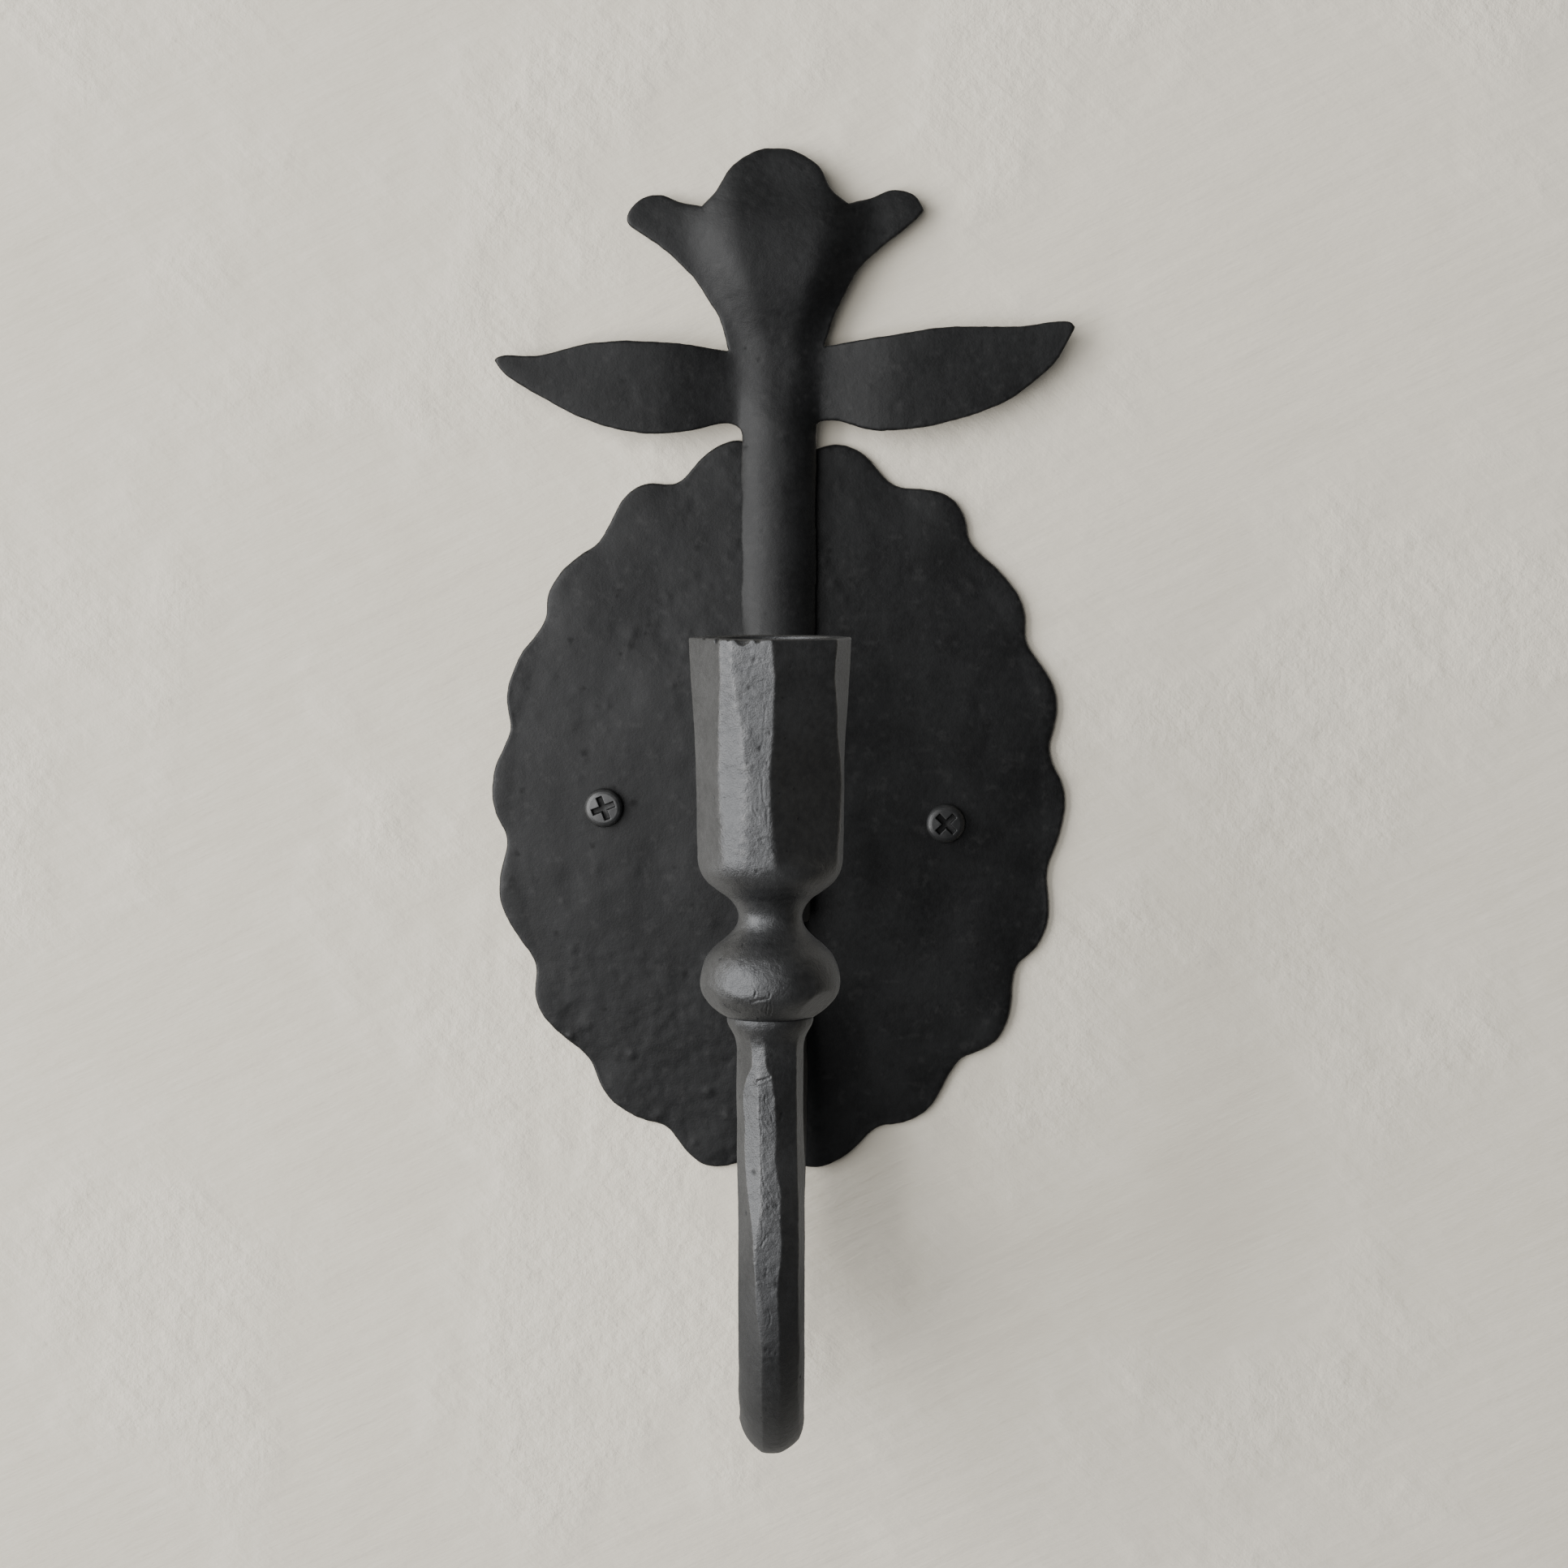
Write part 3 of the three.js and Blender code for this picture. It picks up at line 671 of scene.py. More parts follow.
def ridge_at(away, z):
    """The flat-topped ridge that runs up between the leaves and widens into the tulip."""
    height = (1.5 + 2.4 * smootherstep(z, 92.0, 112.0)) * (1.0 - 0.35 * smootherstep(z, 114.0, 134.0))
    flank = 6.0 + 8.5 * smootherstep(z, 90.0, 124.0)
    half = 5.0 + 3.0 * smootherstep(z, 94.0, 122.0)
    return height * (1.0 - smootherstep(away, flank - half, flank + half))


def stem_front_at(x, z):
    """How far the front of the sheet stands off the wall: a half-round stem that opens into the tulip, whose
    top curls back, and leaves that rise away from the stem and turn back at their tips."""
    away = np.abs(x - STEM_X)
    edge = STEM_EDGE_OUT - STEM_LEAN * np.minimum(z, LEAN_ENDS_Z)
    opened = smoothstep(z, 78.0, 90.0)
    crown = half_round_at(away, z) * (1.0 - opened) + ridge_at(away, z) * opened
    curl = 0.0055 * np.maximum(0.0, z - 110.0) ** 2
    rise = 2.1 * smootherstep(away, 5.0, 27.0)
    droop = 1.2 * smootherstep(away, 24.0, 66.0)
    is_leaf = 1.0 - smoothstep(z, 98.0, 110.0)
    return edge + crown - curl + is_leaf * (rise - droop)


def stem_outline():
    """Up the stem's left side and on round, in smooth stretches from one corner to the next."""
    left, right = STEM_X - STEM_HALF_WIDTH, STEM_X + STEM_HALF_WIDTH
    taper, taper_z = 1.2, 10.0
    stretches = [
        [(left + taper, STEM_END_Z), (left, taper_z), (left, 45.0), (left, 77.6)],
        [(left, 77.6), (-8.3, 79.0), (-10.6, 79.9), (-19.0, 78.2), (-28.4, 77.8), (-41.0, 81.0),
         (-53.6, 87.9),
         (-57.5, 90.7), (-59.1, 93.0)],
        [(-59.1, 93.0), (-57.7, 93.9), (-49.8, 94.0), (-38.2, 96.6), (-24.0, 96.7), (-10.2, 94.9)],
        [(-10.2, 94.9), (-12.0, 101.3), (-15.2, 106.6), (-19.2, 111.9), (-24.7, 116.7), (-31.3, 121.7),
         (-31.1, 123.8),
         (-28.5, 126.6), (-24.7, 127.4), (-20.4, 126.0), (-16.0, 125.1)],
        [(-16.0, 125.1), (-13.3, 127.8), (-9.9, 133.0), (-4.2, 136.7), (-0.8, 137.2), (2.8, 136.8),
         (8.6, 133.2),
         (11.3, 128.4), (14.8, 125.6)],
        [(14.8, 125.6), (18.9, 126.6), (24.0, 128.4), (28.5, 127.5), (30.5, 124.2)],
        [(30.5, 124.2), (27.8, 121.2), (22.4, 117.0), (16.9, 111.6), (14.1, 106.6), (11.4, 101.3),
         (9.8, 95.9)],
        [(9.8, 95.9), (23.2, 98.1), (36.0, 99.9), (50.5, 100.1), (60.8, 101.0), (62.0, 99.8)],
        [(62.0, 99.8), (57.6, 92.4), (48.4, 84.9), (36.7, 80.4), (21.3, 78.3), (11.6, 80.4), (8.6, 80.1),
         (right, 78.6)],
        [(right, 78.6), (right, 45.0), (right, taper_z), (right - taper, STEM_END_Z)],
    ]
    return np.vstack([spline(stretch)[:-1] for stretch in stretches] + [[stretches[-1][-1]]])[::-1]


def stem_relief(x, z):
    """Smoother than the plate: soft planishing, fine scale, a little coarser on the tulip and leaves."""
    at = flat3(x, z)
    soft = 0.17 * noise(at, 14.0, 41) + 0.08 * noise(at, 6.5, 42)
    bump, kind = spots(at, 3.4, 44)
    bumps = 0.06 * (kind < 0.4) * np.exp(-((bump / 0.7) ** 2))
    small = 0.040 * rough_noise(at, 2.2, 43, 3) + 0.012 * noise(at, 0.9, 46)
    return soft + bumps + small - 0.06 * pits(at, 3.6, 0.25, 0.6, 47)


def floral_stem():
    holes = [circle(STEM_X, z, RIVET_RADIUS + GAP) for z in RIVETS.values()]
    outline = hand_cut(evenly(stem_outline(), SHEET_STEP), 13)
    points, faces, depth = formed_sheet(
        outline, holes, 0.6, stem_front_at, SHEET_THICKNESS, stem_relief,
        lambda x, z: 0.08 * noise(flat3(x, z), 8.0, 48) + 0.03 * rough_noise(flat3(x, z), 2.0, 49), 0.45,
        lambda depth: 0.25 * np.exp(-depth / 1.6),
    )
    at = flat3(points[:, 0], points[:, 2])
    wear = 0.6 * np.exp(-depth / 0.3) + 0.2 * (noise(at, 1.5, 50) > 0.66)
    pit = pits(at, 3.6, 0.25, 0.6, 47)
    make_piece("floral_stem_formed", points, faces, "sheet_iron", ["floral_stem"], SHEET_IRON, wear=wear,
               pit=pit)


# ---- Arm ---------------------------------------------------------------------------------------------------

BEND_SHIFT = 0.3  # the bend lies this much further to the left than the plain solid's
ARM_FULLNESS = 1.02  # the bar's size against the plain solid's
# Down from the knob the flats lose their edges by this share over this stretch, as the bar starts to bend.
BEND_ROUNDING, ROUNDED_OVER = 0.62, (50.0, 76.0)
COLLAR_FLARE, COLLAR_OVER = 0.30, (-8.5, -0.4)  # upset end under the knob
# Painted shade: darker, duller colour on the bend and behind it than on the front of the bar, setting in over
# this stretch.
LOWER_ARM_PAINTED_SHADE, PAINTED_SHADE_OVER = 0.65, (36.0, 58.0)
SEAM_SCALE = 0.3  # scale left by the brazing
ARM_LUMPS, ARM_ROUGH, ARM_GRAIN, ARM_SEAM, ARM_PIT = 0.11, 0.085, 0.020, 0.09, 0.16  # depths of its relief


def arm_centre():
    """The middle of the bar, from the palm's top, down and out from the wall, round the bend, up to the
    cup."""

    def palm(z):
        return (STEM_X, -float(plate_front_at(STEM_X, z)) - GAP - 1.7, z)

    points = [palm(z) for z in (PALM_TOP_Z, 16.0, 0.0, -10.0)]
    points += [(STEM_X, -8.6, -24.0), (0.0, -10.2, -38.0), (-0.2, -13.4, -56.0), (-0.5, -17.2, -72.0)]
    for degrees in range(190, 361, 17):
        turn = math.radians(degrees)
        out = CUP_OUT - BEND_RADIUS + BEND_RADIUS * math.cos(turn)
        points.append((BEND_X - BEND_SHIFT, -out, BEND_CENTRE_Z + BEND_RADIUS * math.sin(turn)))
    points += [(-1.1, -CUP_OUT, -70.0), (CUP_X, -CUP_OUT, -50.0),
               (CUP_X, -CUP_OUT, KNOB_BOTTOM_Z - BRAZED_GAP)]
    line = evenly(spline(points), 0.1, closed=False)
    length = np.arange(len(line)) * np.linalg.norm(line[1] - line[0])
    below = length[-1] - length
    spacing = 0.30 + 0.55 * smoothstep(below, 85.0, 100.0)  # finer on the side that is seen
    share = np.cumsum(1.0 / spacing)
    at = np.linspace(share[0], share[-1], round((share[-1] - share[0]) * 0.1) + 1)
    return np.stack([np.interp(at, share, line[:, k]) for k in range(3)], axis=1)


def arm():
    centre = arm_centre()
    turn = front_turns(148, 48)
    rows, around = len(centre), turn.shape[1]
    tangent = np.gradient(centre, axis=0)
    tangent /= np.linalg.norm(tangent, axis=1, keepdims=True)
    across = np.array([1.0, 0.0, 0.0])
    outward = np.cross(across, tangent)
    length = np.concatenate([[0.0], np.cumsum(np.linalg.norm(np.diff(centre, axis=0), axis=1))])
    below = (length[-1] - length)[:, None]  # distance back along the bar from under the knob
    swell = smoothstep(length, 55.0, 89.0)[:, None]
    half_width = PALM_HALF_WIDTH + (BAR_HALF_WIDTH - PALM_HALF_WIDTH) * swell
    half_depth = PALM_HALF_DEPTH + (BAR_HALF_WIDTH - PALM_HALF_DEPTH) * swell

    # Where the flats meet, in degrees from the front towards +X, as they change down from the knob.
    def edge(depths, degrees, seed):
        drift = 2.2 * noise(along_line(below), 9.0, seed)[:, None]
        return np.radians(np.interp(below, depths, degrees) + drift)

    edges = [
        edge([0], [-142], 61),
        edge([0], [-96], 62),
        edge([1, 9, 11, 15, 20, 34, 38, 42, 46, 54, 62, 120],
             [-35, -34, -44, -56, -51, -46, -40, -33, -31, -24, -17, -17], 63),
        edge([1, 8, 12, 36, 42, 46, 54, 62, 120], [-12, -15, -19, -18, -26, -29, -22.5, -15.5, -15.5], 64),
        edge([1, 9, 11, 15, 20, 26, 30, 33, 40, 50, 60, 120], [-10, -9, 1, 8, 11, 9, 12, 18, 17, 11, 14, 16],
             65),
        edge([0, 30, 80], [50, 51, 56], 66),
        edge([0], [97], 67),
        edge([0], [141], 68),
        edge([0], [182], 69),
    ]
    directions, distances = [], []
    for k, start in enumerate(edges):
        end = edges[k + 1] if k + 1 < len(edges) else edges[0] + 2.0 * math.pi
        directions.append((start + end) / 2.0)
        uneven = 0.012 * noise(along_line(below), 14.0, 70 + k)[:, None]
        distances.append(np.cos((end - start) / 2.0) * (1.0 + uneven))
    radius, near_edge = flats(turn, directions, distances, 110.0)
    rounded = BEND_ROUNDING * smoothstep(below, *ROUNDED_OVER)
    radius = ARM_FULLNESS * (radius + rounded * (1.0 - radius))
    near_edge = near_edge * (1.0 - rounded)
    collar = smoothstep(-below, *COLLAR_OVER)
    round_radius = 1.0 + COLLAR_FLARE * collar**1.6
    radius = radius * (1.0 - collar) + round_radius * collar
    near_edge = near_edge * (1.0 - collar)
    side = (radius * half_width * np.sin(turn))[..., None]
    front = (radius * half_depth * np.cos(turn))[..., None]
    grid = centre[:, None, :] + side * across + front * outward[:, None, :]

    # Fine relief along the surface normal.
    normal = grid_normals(grid)
    flat_points = grid.reshape(-1, 3)
    arc = (turn * BAR_HALF_WIDTH + 0.0 * below).ravel()
    down = (below + 0.0 * turn).ravel()
    centre_flat = plateau(np.degrees(turn), -2.0, 17.0) * smoothstep(below, 10.0, 14.0)
    rough = (0.35 + 0.65 * centre_flat * (1.0 - smoothstep(below, 55.0, 75.0))).ravel()
    relief = ARM_LUMPS * noise(flat_points, 7.0, 81) + ARM_ROUGH * rough * rough_noise(flat_points, 1.5, 82)
    relief += ARM_GRAIN * rough_noise(flat_points, 0.7, 85, 2)
    pit = pits(flat_points, 4.0, 0.34, 0.55, 88)
    on_front = np.abs(arc) < 9.0
    at = np.column_stack([arc, -down])
    for path, width, deep in ARM_CRACKS:
        relief += on_front * groove(at, path, width, deep, 90)
    for spot in ARM_PITS:
        pit = np.maximum(pit, dimple(arc, down, spot))
    seam = np.exp(-(((down - 1.0) / 0.8) ** 2)) * on_front
    relief += seam * ARM_SEAM * rough_noise(flat_points, 1.3, 95, 2)
    relief -= ARM_PIT * pit
    grid = grid + normal * relief.reshape(rows, around)[..., None]

    shoulder = centre[-1]
    top = shoulder[2] + TENON_LENGTH
    rings = [(TENON_RADIUS, shoulder[2]), (TENON_RADIUS, top - 0.6), (TENON_RADIUS - 0.6, top)]
    tenon = [
        np.column_stack([
            shoulder[0] + r * np.sin(turn[0]), shoulder[1] - r * np.cos(turn[0]), np.full(around, z)
        ])
        for r, z in rings
    ]
    body = np.vstack([grid.reshape(-1, 3), *tenon])
    total = rows + len(rings)
    start_middle, end_middle = total * around, total * around + 1
    ends = np.array([centre[0] - tangent[0] * 0.2, [shoulder[0], shoulder[1], top]])
    faces = tube_faces(total, around, start_middle, end_middle)
    points = np.vstack([body, ends])
    wear = np.zeros(len(points))
    wear[:rows * around] = 0.8 * near_edge.ravel()
    dull = np.zeros(len(points))
    # Scale left by the brazing just under the knob, and painted shade on the bend and the run behind it.
    seam_scale_and_painted_shade = np.maximum(SEAM_SCALE * np.exp(-down / 1.2), LOWER_ARM_PAINTED_SHADE * smoothstep(down, *PAINTED_SHADE_OVER))
    dull[:rows * around] = np.maximum(pit, seam_scale_and_painted_shade)
    make_piece("arm_forged", points, faces, "forged_iron", ["arm"], FORGED_IRON, wear=wear, pit=dull)


# Cracks and laps on the front of the bar: points [round the bar, down from the knob], width and depth.
ARM_CRACKS = [
    ([(-2.6, -11.7), (-1.4, -11.3), (-0.2, -10.9)], 0.24, 0.34),
    ([(-1.9, -12.0), (-1.8, -20.0), (-1.7, -30.0), (-1.9, -42.0)], 0.16, 0.04),
    ([(-3.6, -43.5), (-2.6, -42.6), (-1.7, -43.4), (-1.4, -41.8)], 0.18, 0.10),
    ([(-3.4, -49.6), (-2.5, -48.9), (-1.8, -49.6)], 0.18, 0.10),
    ([(-1.2, -14.5), (-0.3, -16.5), (0.3, -19.0)], 0.15, 0.08),
    ([(-1.4, -18.5), (-0.6, -20.4), (0.2, -21.6)], 0.15, 0.08),
    ([(-1.3, -31.0), (-0.2, -33.0), (1.0, -33.6)], 0.16, 0.09),
    ([(-1.0, -35.5), (0.4, -36.4), (1.4, -37.8)], 0.16, 0.09),
    ([(-0.8, -54.5), (-0.2, -56.2), (-0.9, -57.6)], 0.16, 0.08),
]
ARM_PITS = [
    (2.3, 17.9, 0.5), (2.0, 18.7, 0.35), (-3.6, 29.2, 0.42), (1.0, 50.2, 0.45), (-1.0, 47.4, 0.3),
    (-1.1, 48.5, 0.25),
    (1.1, 35.3, 0.3), (-0.2, 62.0, 0.4), (-0.9, 61.6, 0.3), (0.9, 62.1, 0.25), (-3.3, 46.0, 0.25),
    (-3.4, 56.0, 0.3),
]

# ---- Candle cup --------------------------------------------------------------------------------------------

# The outside from under the knob up to the rim, [radius, z].
CUP_PROFILE = [
    (8.4, KNOB_BOTTOM_Z), (9.8, -33.1), (11.6, -31.5), (12.9, -29.5), (13.3, -27.3), (12.85, -24.6),
    (11.8, -22.3),
    (10.3, -20.6), (8.2, -18.9), (6.6, -17.1), (6.0, -15.2), (6.4, -13.5), (7.8, -11.6),
    (9.9, -10.1), (12.3, -8.0), (13.7, -5.2), (14.05, -1.4),
    (14.15, 6.0), (14.3, 17.0), (14.8, 25.0), (15.2, 32.0), (15.45, 37.5),
]
# Where the cup's flats meet, in degrees from the front towards +X, at the heights in CUP_EDGE_Z.
CUP_EDGE_Z = (-1.4, 4.7, 12.0, 20.4, 30.2, 37.8)
CUP_EDGES = [
    (-82.0,) * 6,
    (-40.0, -41.0, -43.0, -42.5, -38.7, -37.3),
    (-21.0, -21.5, -18.0, -21.5, -28.0, -27.4),
    (4.0, 1.5, 0.0, 2.5, 3.2, 1.6),
    (66.0, 71.0, 73.0, 61.0, 52.5, 54.0),
    (97.0, 97.0, 97.0, 97.0, 96.0, 96.0),
    (142.0,) * 6,
    (187.0,) * 6,
    (232.0,) * 6,
]
# Scoops broken out of the rim: degrees, width and depth.
RIM_CHIPS = [(-61.0, 2.9, 0.7), (-42.0, 1.8, 1.0), (-19.5, 3.3, 1.25), (-8.5, 1.5, 0.8), (-30.0, 1.0, 0.3)]
# Cracks, laps and ridges: points [round the front, z], width and depth. A negative depth is a ridge.
CUP_CRACKS = [
    ([(-1.6, 34.5), (-1.0, 31.5), (-1.5, 27.5), (-0.9, 23.0), (-1.6, 17.5), (-0.9, 14.0)], 0.16, 0.045),
    ([(-1.5, 13.0), (-1.2, 8.5), (-0.4, 5.0), (-0.6, 2.5)], 0.20, 0.08),
    ([(-7.2, 32.2), (-5.6, 33.4), (-3.8, 33.2)], 0.14, 0.06),
    ([(-5.4, 15.0), (-4.5, 13.2), (-3.4, 11.6)], 0.16, 0.12),
    ([(-3.0, 7.2), (-2.8, 5.6), (-2.2, 4.7)], 0.16, 0.10),
    ([(-2.2, 0.4), (-1.0, 0.9), (0.4, 0.5), (1.6, -0.3)], 0.22, 0.12),
    ([(-1.2, -0.6), (0.6, -1.0), (1.4, -2.2)], 0.2, 0.10),
]
KNOB_CRACKS = [
    ([(-3.4, -26.7), (-2.6, -27.6), (-2.9, -28.8)], 0.17, 0.20),
    ([(-3.7, -30.3), (-2.4, -29.4), (-0.6, -29.1)], 0.17, 0.20),
    ([(-0.3, -28.2), (-0.4, -30.4), (-0.7, -32.6)], 0.17, 0.20),
    ([(0.3, -29.4), (0.5, -31.0), (0.3, -32.8)], 0.14, 0.10),
    ([(-1.6, -31.2), (-1.1, -29.8), (-0.5, -29.0)], 0.14, 0.10),
    ([(-10.4, -30.4), (-9.2, -31.2), (-8.4, -31.0)], 0.16, -0.16),
    ([(-7.6, -31.7), (-6.0, -32.2)], 0.15, -0.14),
    ([(-6.2, -33.6), (-4.4, -33.4), (-2.6, -33.6)], 0.16, -0.16),
]
CUP_PITS = [
    (-1.9, 17.6, 0.35), (0.6, 18.2, 0.32), (-2.9, 34.0, 0.26), (-3.9, 28.8, 0.28), (3.9, 32.8, 0.25),
    (-0.1, 20.4, 0.2),
    (-4.2, 14.9, 0.24), (4.5, 9.9, 0.22), (1.7, 9.2, 0.25), (3.1, -1.6, 0.22), (-2.5, -5.4, 0.3),
    (2.4, 26.9, 0.2),
    (-3.1, 14.2, 0.25), (-2.3, 6.1, 0.22), (2.9, 19.4, 0.18), (-0.6, 14.9, 0.2),
]
# Planes that flatten the knob where it was dressed: direction and how deep they cut into it.
KNOB_FLATS = [
    ((0.62, -0.42, -0.66), 0.75), ((-0.42, -0.9, 0.06), 0.28), ((0.50, -0.86, 0.05), 0.20),
    ((-0.80, -0.40, -0.45), 0.35),
    ((0.9, 0.4, 0.1), 0.25), ((0.3, 0.95, -0.1), 0.3), ((-0.6, 0.8, 0.1), 0.25), ((-0.95, 0.1, 0.2), 0.2),
]
KNOB_MIDDLE_Z, KNOB_RADIUS, KNOB_HALF_HEIGHT = -27.3, 13.3, 8.2
CHIPPED_RADIUS = 15.4  # where the rim's chips are laid out
# Depths of its relief.
CUP_LUMPS, CUP_ROUGH, CUP_GRAIN, CUP_STREAKS, CUP_PIT = 0.10, 0.065, 0.016, 0.012, 0.14


def cup_sections():
    """The closed profile in rows from the axis in the socket, out, up the outside, over the rim, down the
    bore to its floor and back to the axis."""
    socket = TENON_RADIUS + GAP
    socket_top = KNOB_BOTTOM_Z + TENON_LENGTH
    lower = [(0.6, socket_top), (socket, socket_top), (socket, KNOB_BOTTOM_Z), (8.2, KNOB_BOTTOM_Z)]
    outside = evenly(spline(CUP_PROFILE), 0.30, closed=False)
    rim = [(15.3, 37.72), (15.05, RIM_Z), (13.4, RIM_Z), (11.75, RIM_Z), (BORE_RADIUS + 0.1, RIM_Z - 0.1)]
    bore = [(BORE_RADIUS, z) for z in np.linspace(RIM_Z - 0.4, SEAT_Z + 1.2, 24)]
    floor = [(BORE_RADIUS - 0.3, SEAT_Z + 0.3), (BORE_RADIUS - 1.1, SEAT_Z), (7.0, SEAT_Z), (0.6, SEAT_Z)]
    return np.vstack([evenly(np.array(lower), 0.9, closed=False), outside, rim, bore, floor])


def candle_cup():
    profile = cup_sections()
    turn = front_turns(232, 54)
    rows, around = len(profile), turn.shape[1]
    radius, z = profile[:, :1], profile[:, 1:]
    outer = smoothstep(radius, BORE_RADIUS + 0.2, BORE_RADIUS + 3.0)
    wander = along_line(z)
    edges = [
        np.radians(np.interp(z, CUP_EDGE_Z, degrees) + 0.9 * noise(wander, 6.0, 101 + k)[:, None])
        for k, degrees in enumerate(CUP_EDGES)
    ]
    directions, distances = [], []
    for start, end in zip(edges, edges[1:] + [edges[0] + 2.0 * math.pi]):
        directions.append((start + end) / 2.0)
        distances.append(np.cos((end - start) / 2.0))
    sharpness = 60.0 + 140.0 * smoothstep(z, 4.0, 28.0)
    flat_radius, near_edge = flats(turn, directions, distances, sharpness)
    on_cup = outer * smoothstep(z, -7.5, -2.0)
    scale = 1.0 + on_cup * (flat_radius - 1.0)
    near_edge = near_edge * on_cup
    spread = radius * scale
    grid = np.stack([CUP_X + spread * np.sin(turn), -CUP_OUT - spread * np.cos(turn), z + 0.0 * turn], axis=2)

    knob = np.array([CUP_X, -CUP_OUT, KNOB_MIDDLE_Z])
    is_knob = (z < -19.5) & (radius > 5.0) & (z > KNOB_BOTTOM_Z - 0.1)
    for direction, cut in KNOB_FLATS:
        n = np.array(direction) / np.linalg.norm(direction)
        reach = math.hypot(KNOB_RADIUS * math.hypot(n[0], n[1]), KNOB_HALF_HEIGHT * n[2]) - cut
        grid = np.where(is_knob[..., None], pressed(grid, direction, reach, knob), grid)

    normal = grid_normals(grid)
    points = grid.reshape(-1, 3)
    degrees = np.degrees(turn)
    arc = (np.radians(degrees) * np.maximum(spread, 6.0)).ravel()
    height = (z + 0.0 * turn).ravel()
    above_seam = smoothstep(z, KNOB_BOTTOM_Z + 0.05, KNOB_BOTTOM_Z + 0.6) * (z < 37.6)
    shown = above_seam * (outer + (z < 0.0) * (radius > 5.0) > 0)
    shown = (shown + 0.0 * turn).ravel()
    centre_flat = plateau(degrees, -10.0, 17.0) * smoothstep(z, -9.0, -3.0)
    knob_front = plateau(degrees, -24.0, 34.0) * plateau(z, -25.0, 8.0)
    rough = (0.3 + 0.7 * np.maximum(centre_flat, knob_front)).ravel()
    at = np.column_stack([arc, height])
    relief = CUP_LUMPS * noise(points, 8.0, 111) + CUP_ROUGH * rough * rough_noise(points, 1.3, 112)
    relief += CUP_GRAIN * (0.5 + rough) * rough_noise(points, 0.62, 115, 2)
    relief += CUP_STREAKS * noise(points * [1.0, 1.0, 0.12], 0.8, 117) * (1.0 - rough)
    pit = pits(points, 3.6, 0.34, 0.42, 118)
    front = (np.abs(degrees + 0.0 * z) < 100.0).ravel()
    for path, width, deep in CUP_CRACKS + KNOB_CRACKS:
        relief += front * groove(at, path, width, deep, 120)
    for spot in CUP_PITS:
        pit = np.maximum(pit, front * dimple(arc, height, spot))
    relief -= CUP_PIT * pit
    moved = points + normal.reshape(-1, 3) * (shown * relief)[:, None]

    # Scoops out of the rim's outer edge.
    chipped = np.zeros(len(points))
    around_arc = (np.radians(degrees) * CHIPPED_RADIUS + 0.0 * z).ravel()
    from_axis = np.hypot(moved[:, 0] - CUP_X, moved[:, 1] + CUP_OUT)
    for chip_degrees, wide, deep in RIM_CHIPS:
        across = (around_arc - math.radians(chip_degrees) * CHIPPED_RADIUS) / (wide / 2.0)
        down = (RIM_Z + 0.15 - moved[:, 2]) / deep
        inward = (16.0 - from_axis) / 2.4
        scoop = np.clip(1.0 - across**2 - down**2 - inward**2, 0.0, None)
        chipped = np.maximum(chipped, np.sqrt(scoop) * (from_axis > BORE_RADIUS + 0.8))
    push = chipped * 0.75
    direction = np.column_stack([moved[:, 0] - CUP_X, moved[:, 1] + CUP_OUT])
    direction /= np.maximum(from_axis, 1e-6)[:, None]
    moved[:, :2] -= direction * push[:, None]
    moved[:, 2] -= 0.35 * chipped * (moved[:, 2] > RIM_Z - 1.0)

    ends = np.array([[CUP_X, -CUP_OUT, profile[0, 1]], [CUP_X, -CUP_OUT, SEAT_Z]])
    faces = tube_faces(rows, around, rows * around, rows * around + 1)
    body = np.vstack([moved, ends])
    wear = np.append(0.75 * near_edge.ravel() + 0.6 * (np.abs(height - RIM_Z) < 0.25) * shown, [0.0, 0.0])
    dull = np.append(np.maximum(pit * shown, 0.3 * (chipped > 0.05)), [0.0, 0.0])
    make_piece("candle_cup_cast", body, faces, "forged_iron", ["candle_cup"], FORGED_IRON, wear=wear,
               pit=dull)


# ---- Fasteners ---------------------------------------------------------------------------------------------


def turned_grid(profile, around, x, z):
    """Rows of points turned about a line square to the wall, from [radius, out] points."""
    turn = np.linspace(0.0, 2.0 * math.pi, around, endpoint=False)
    radius, out = profile[:, :1], profile[:, 1:]
    return np.stack([x + radius * np.cos(turn), -out + 0.0 * turn, z + radius * np.sin(turn)], axis=2)


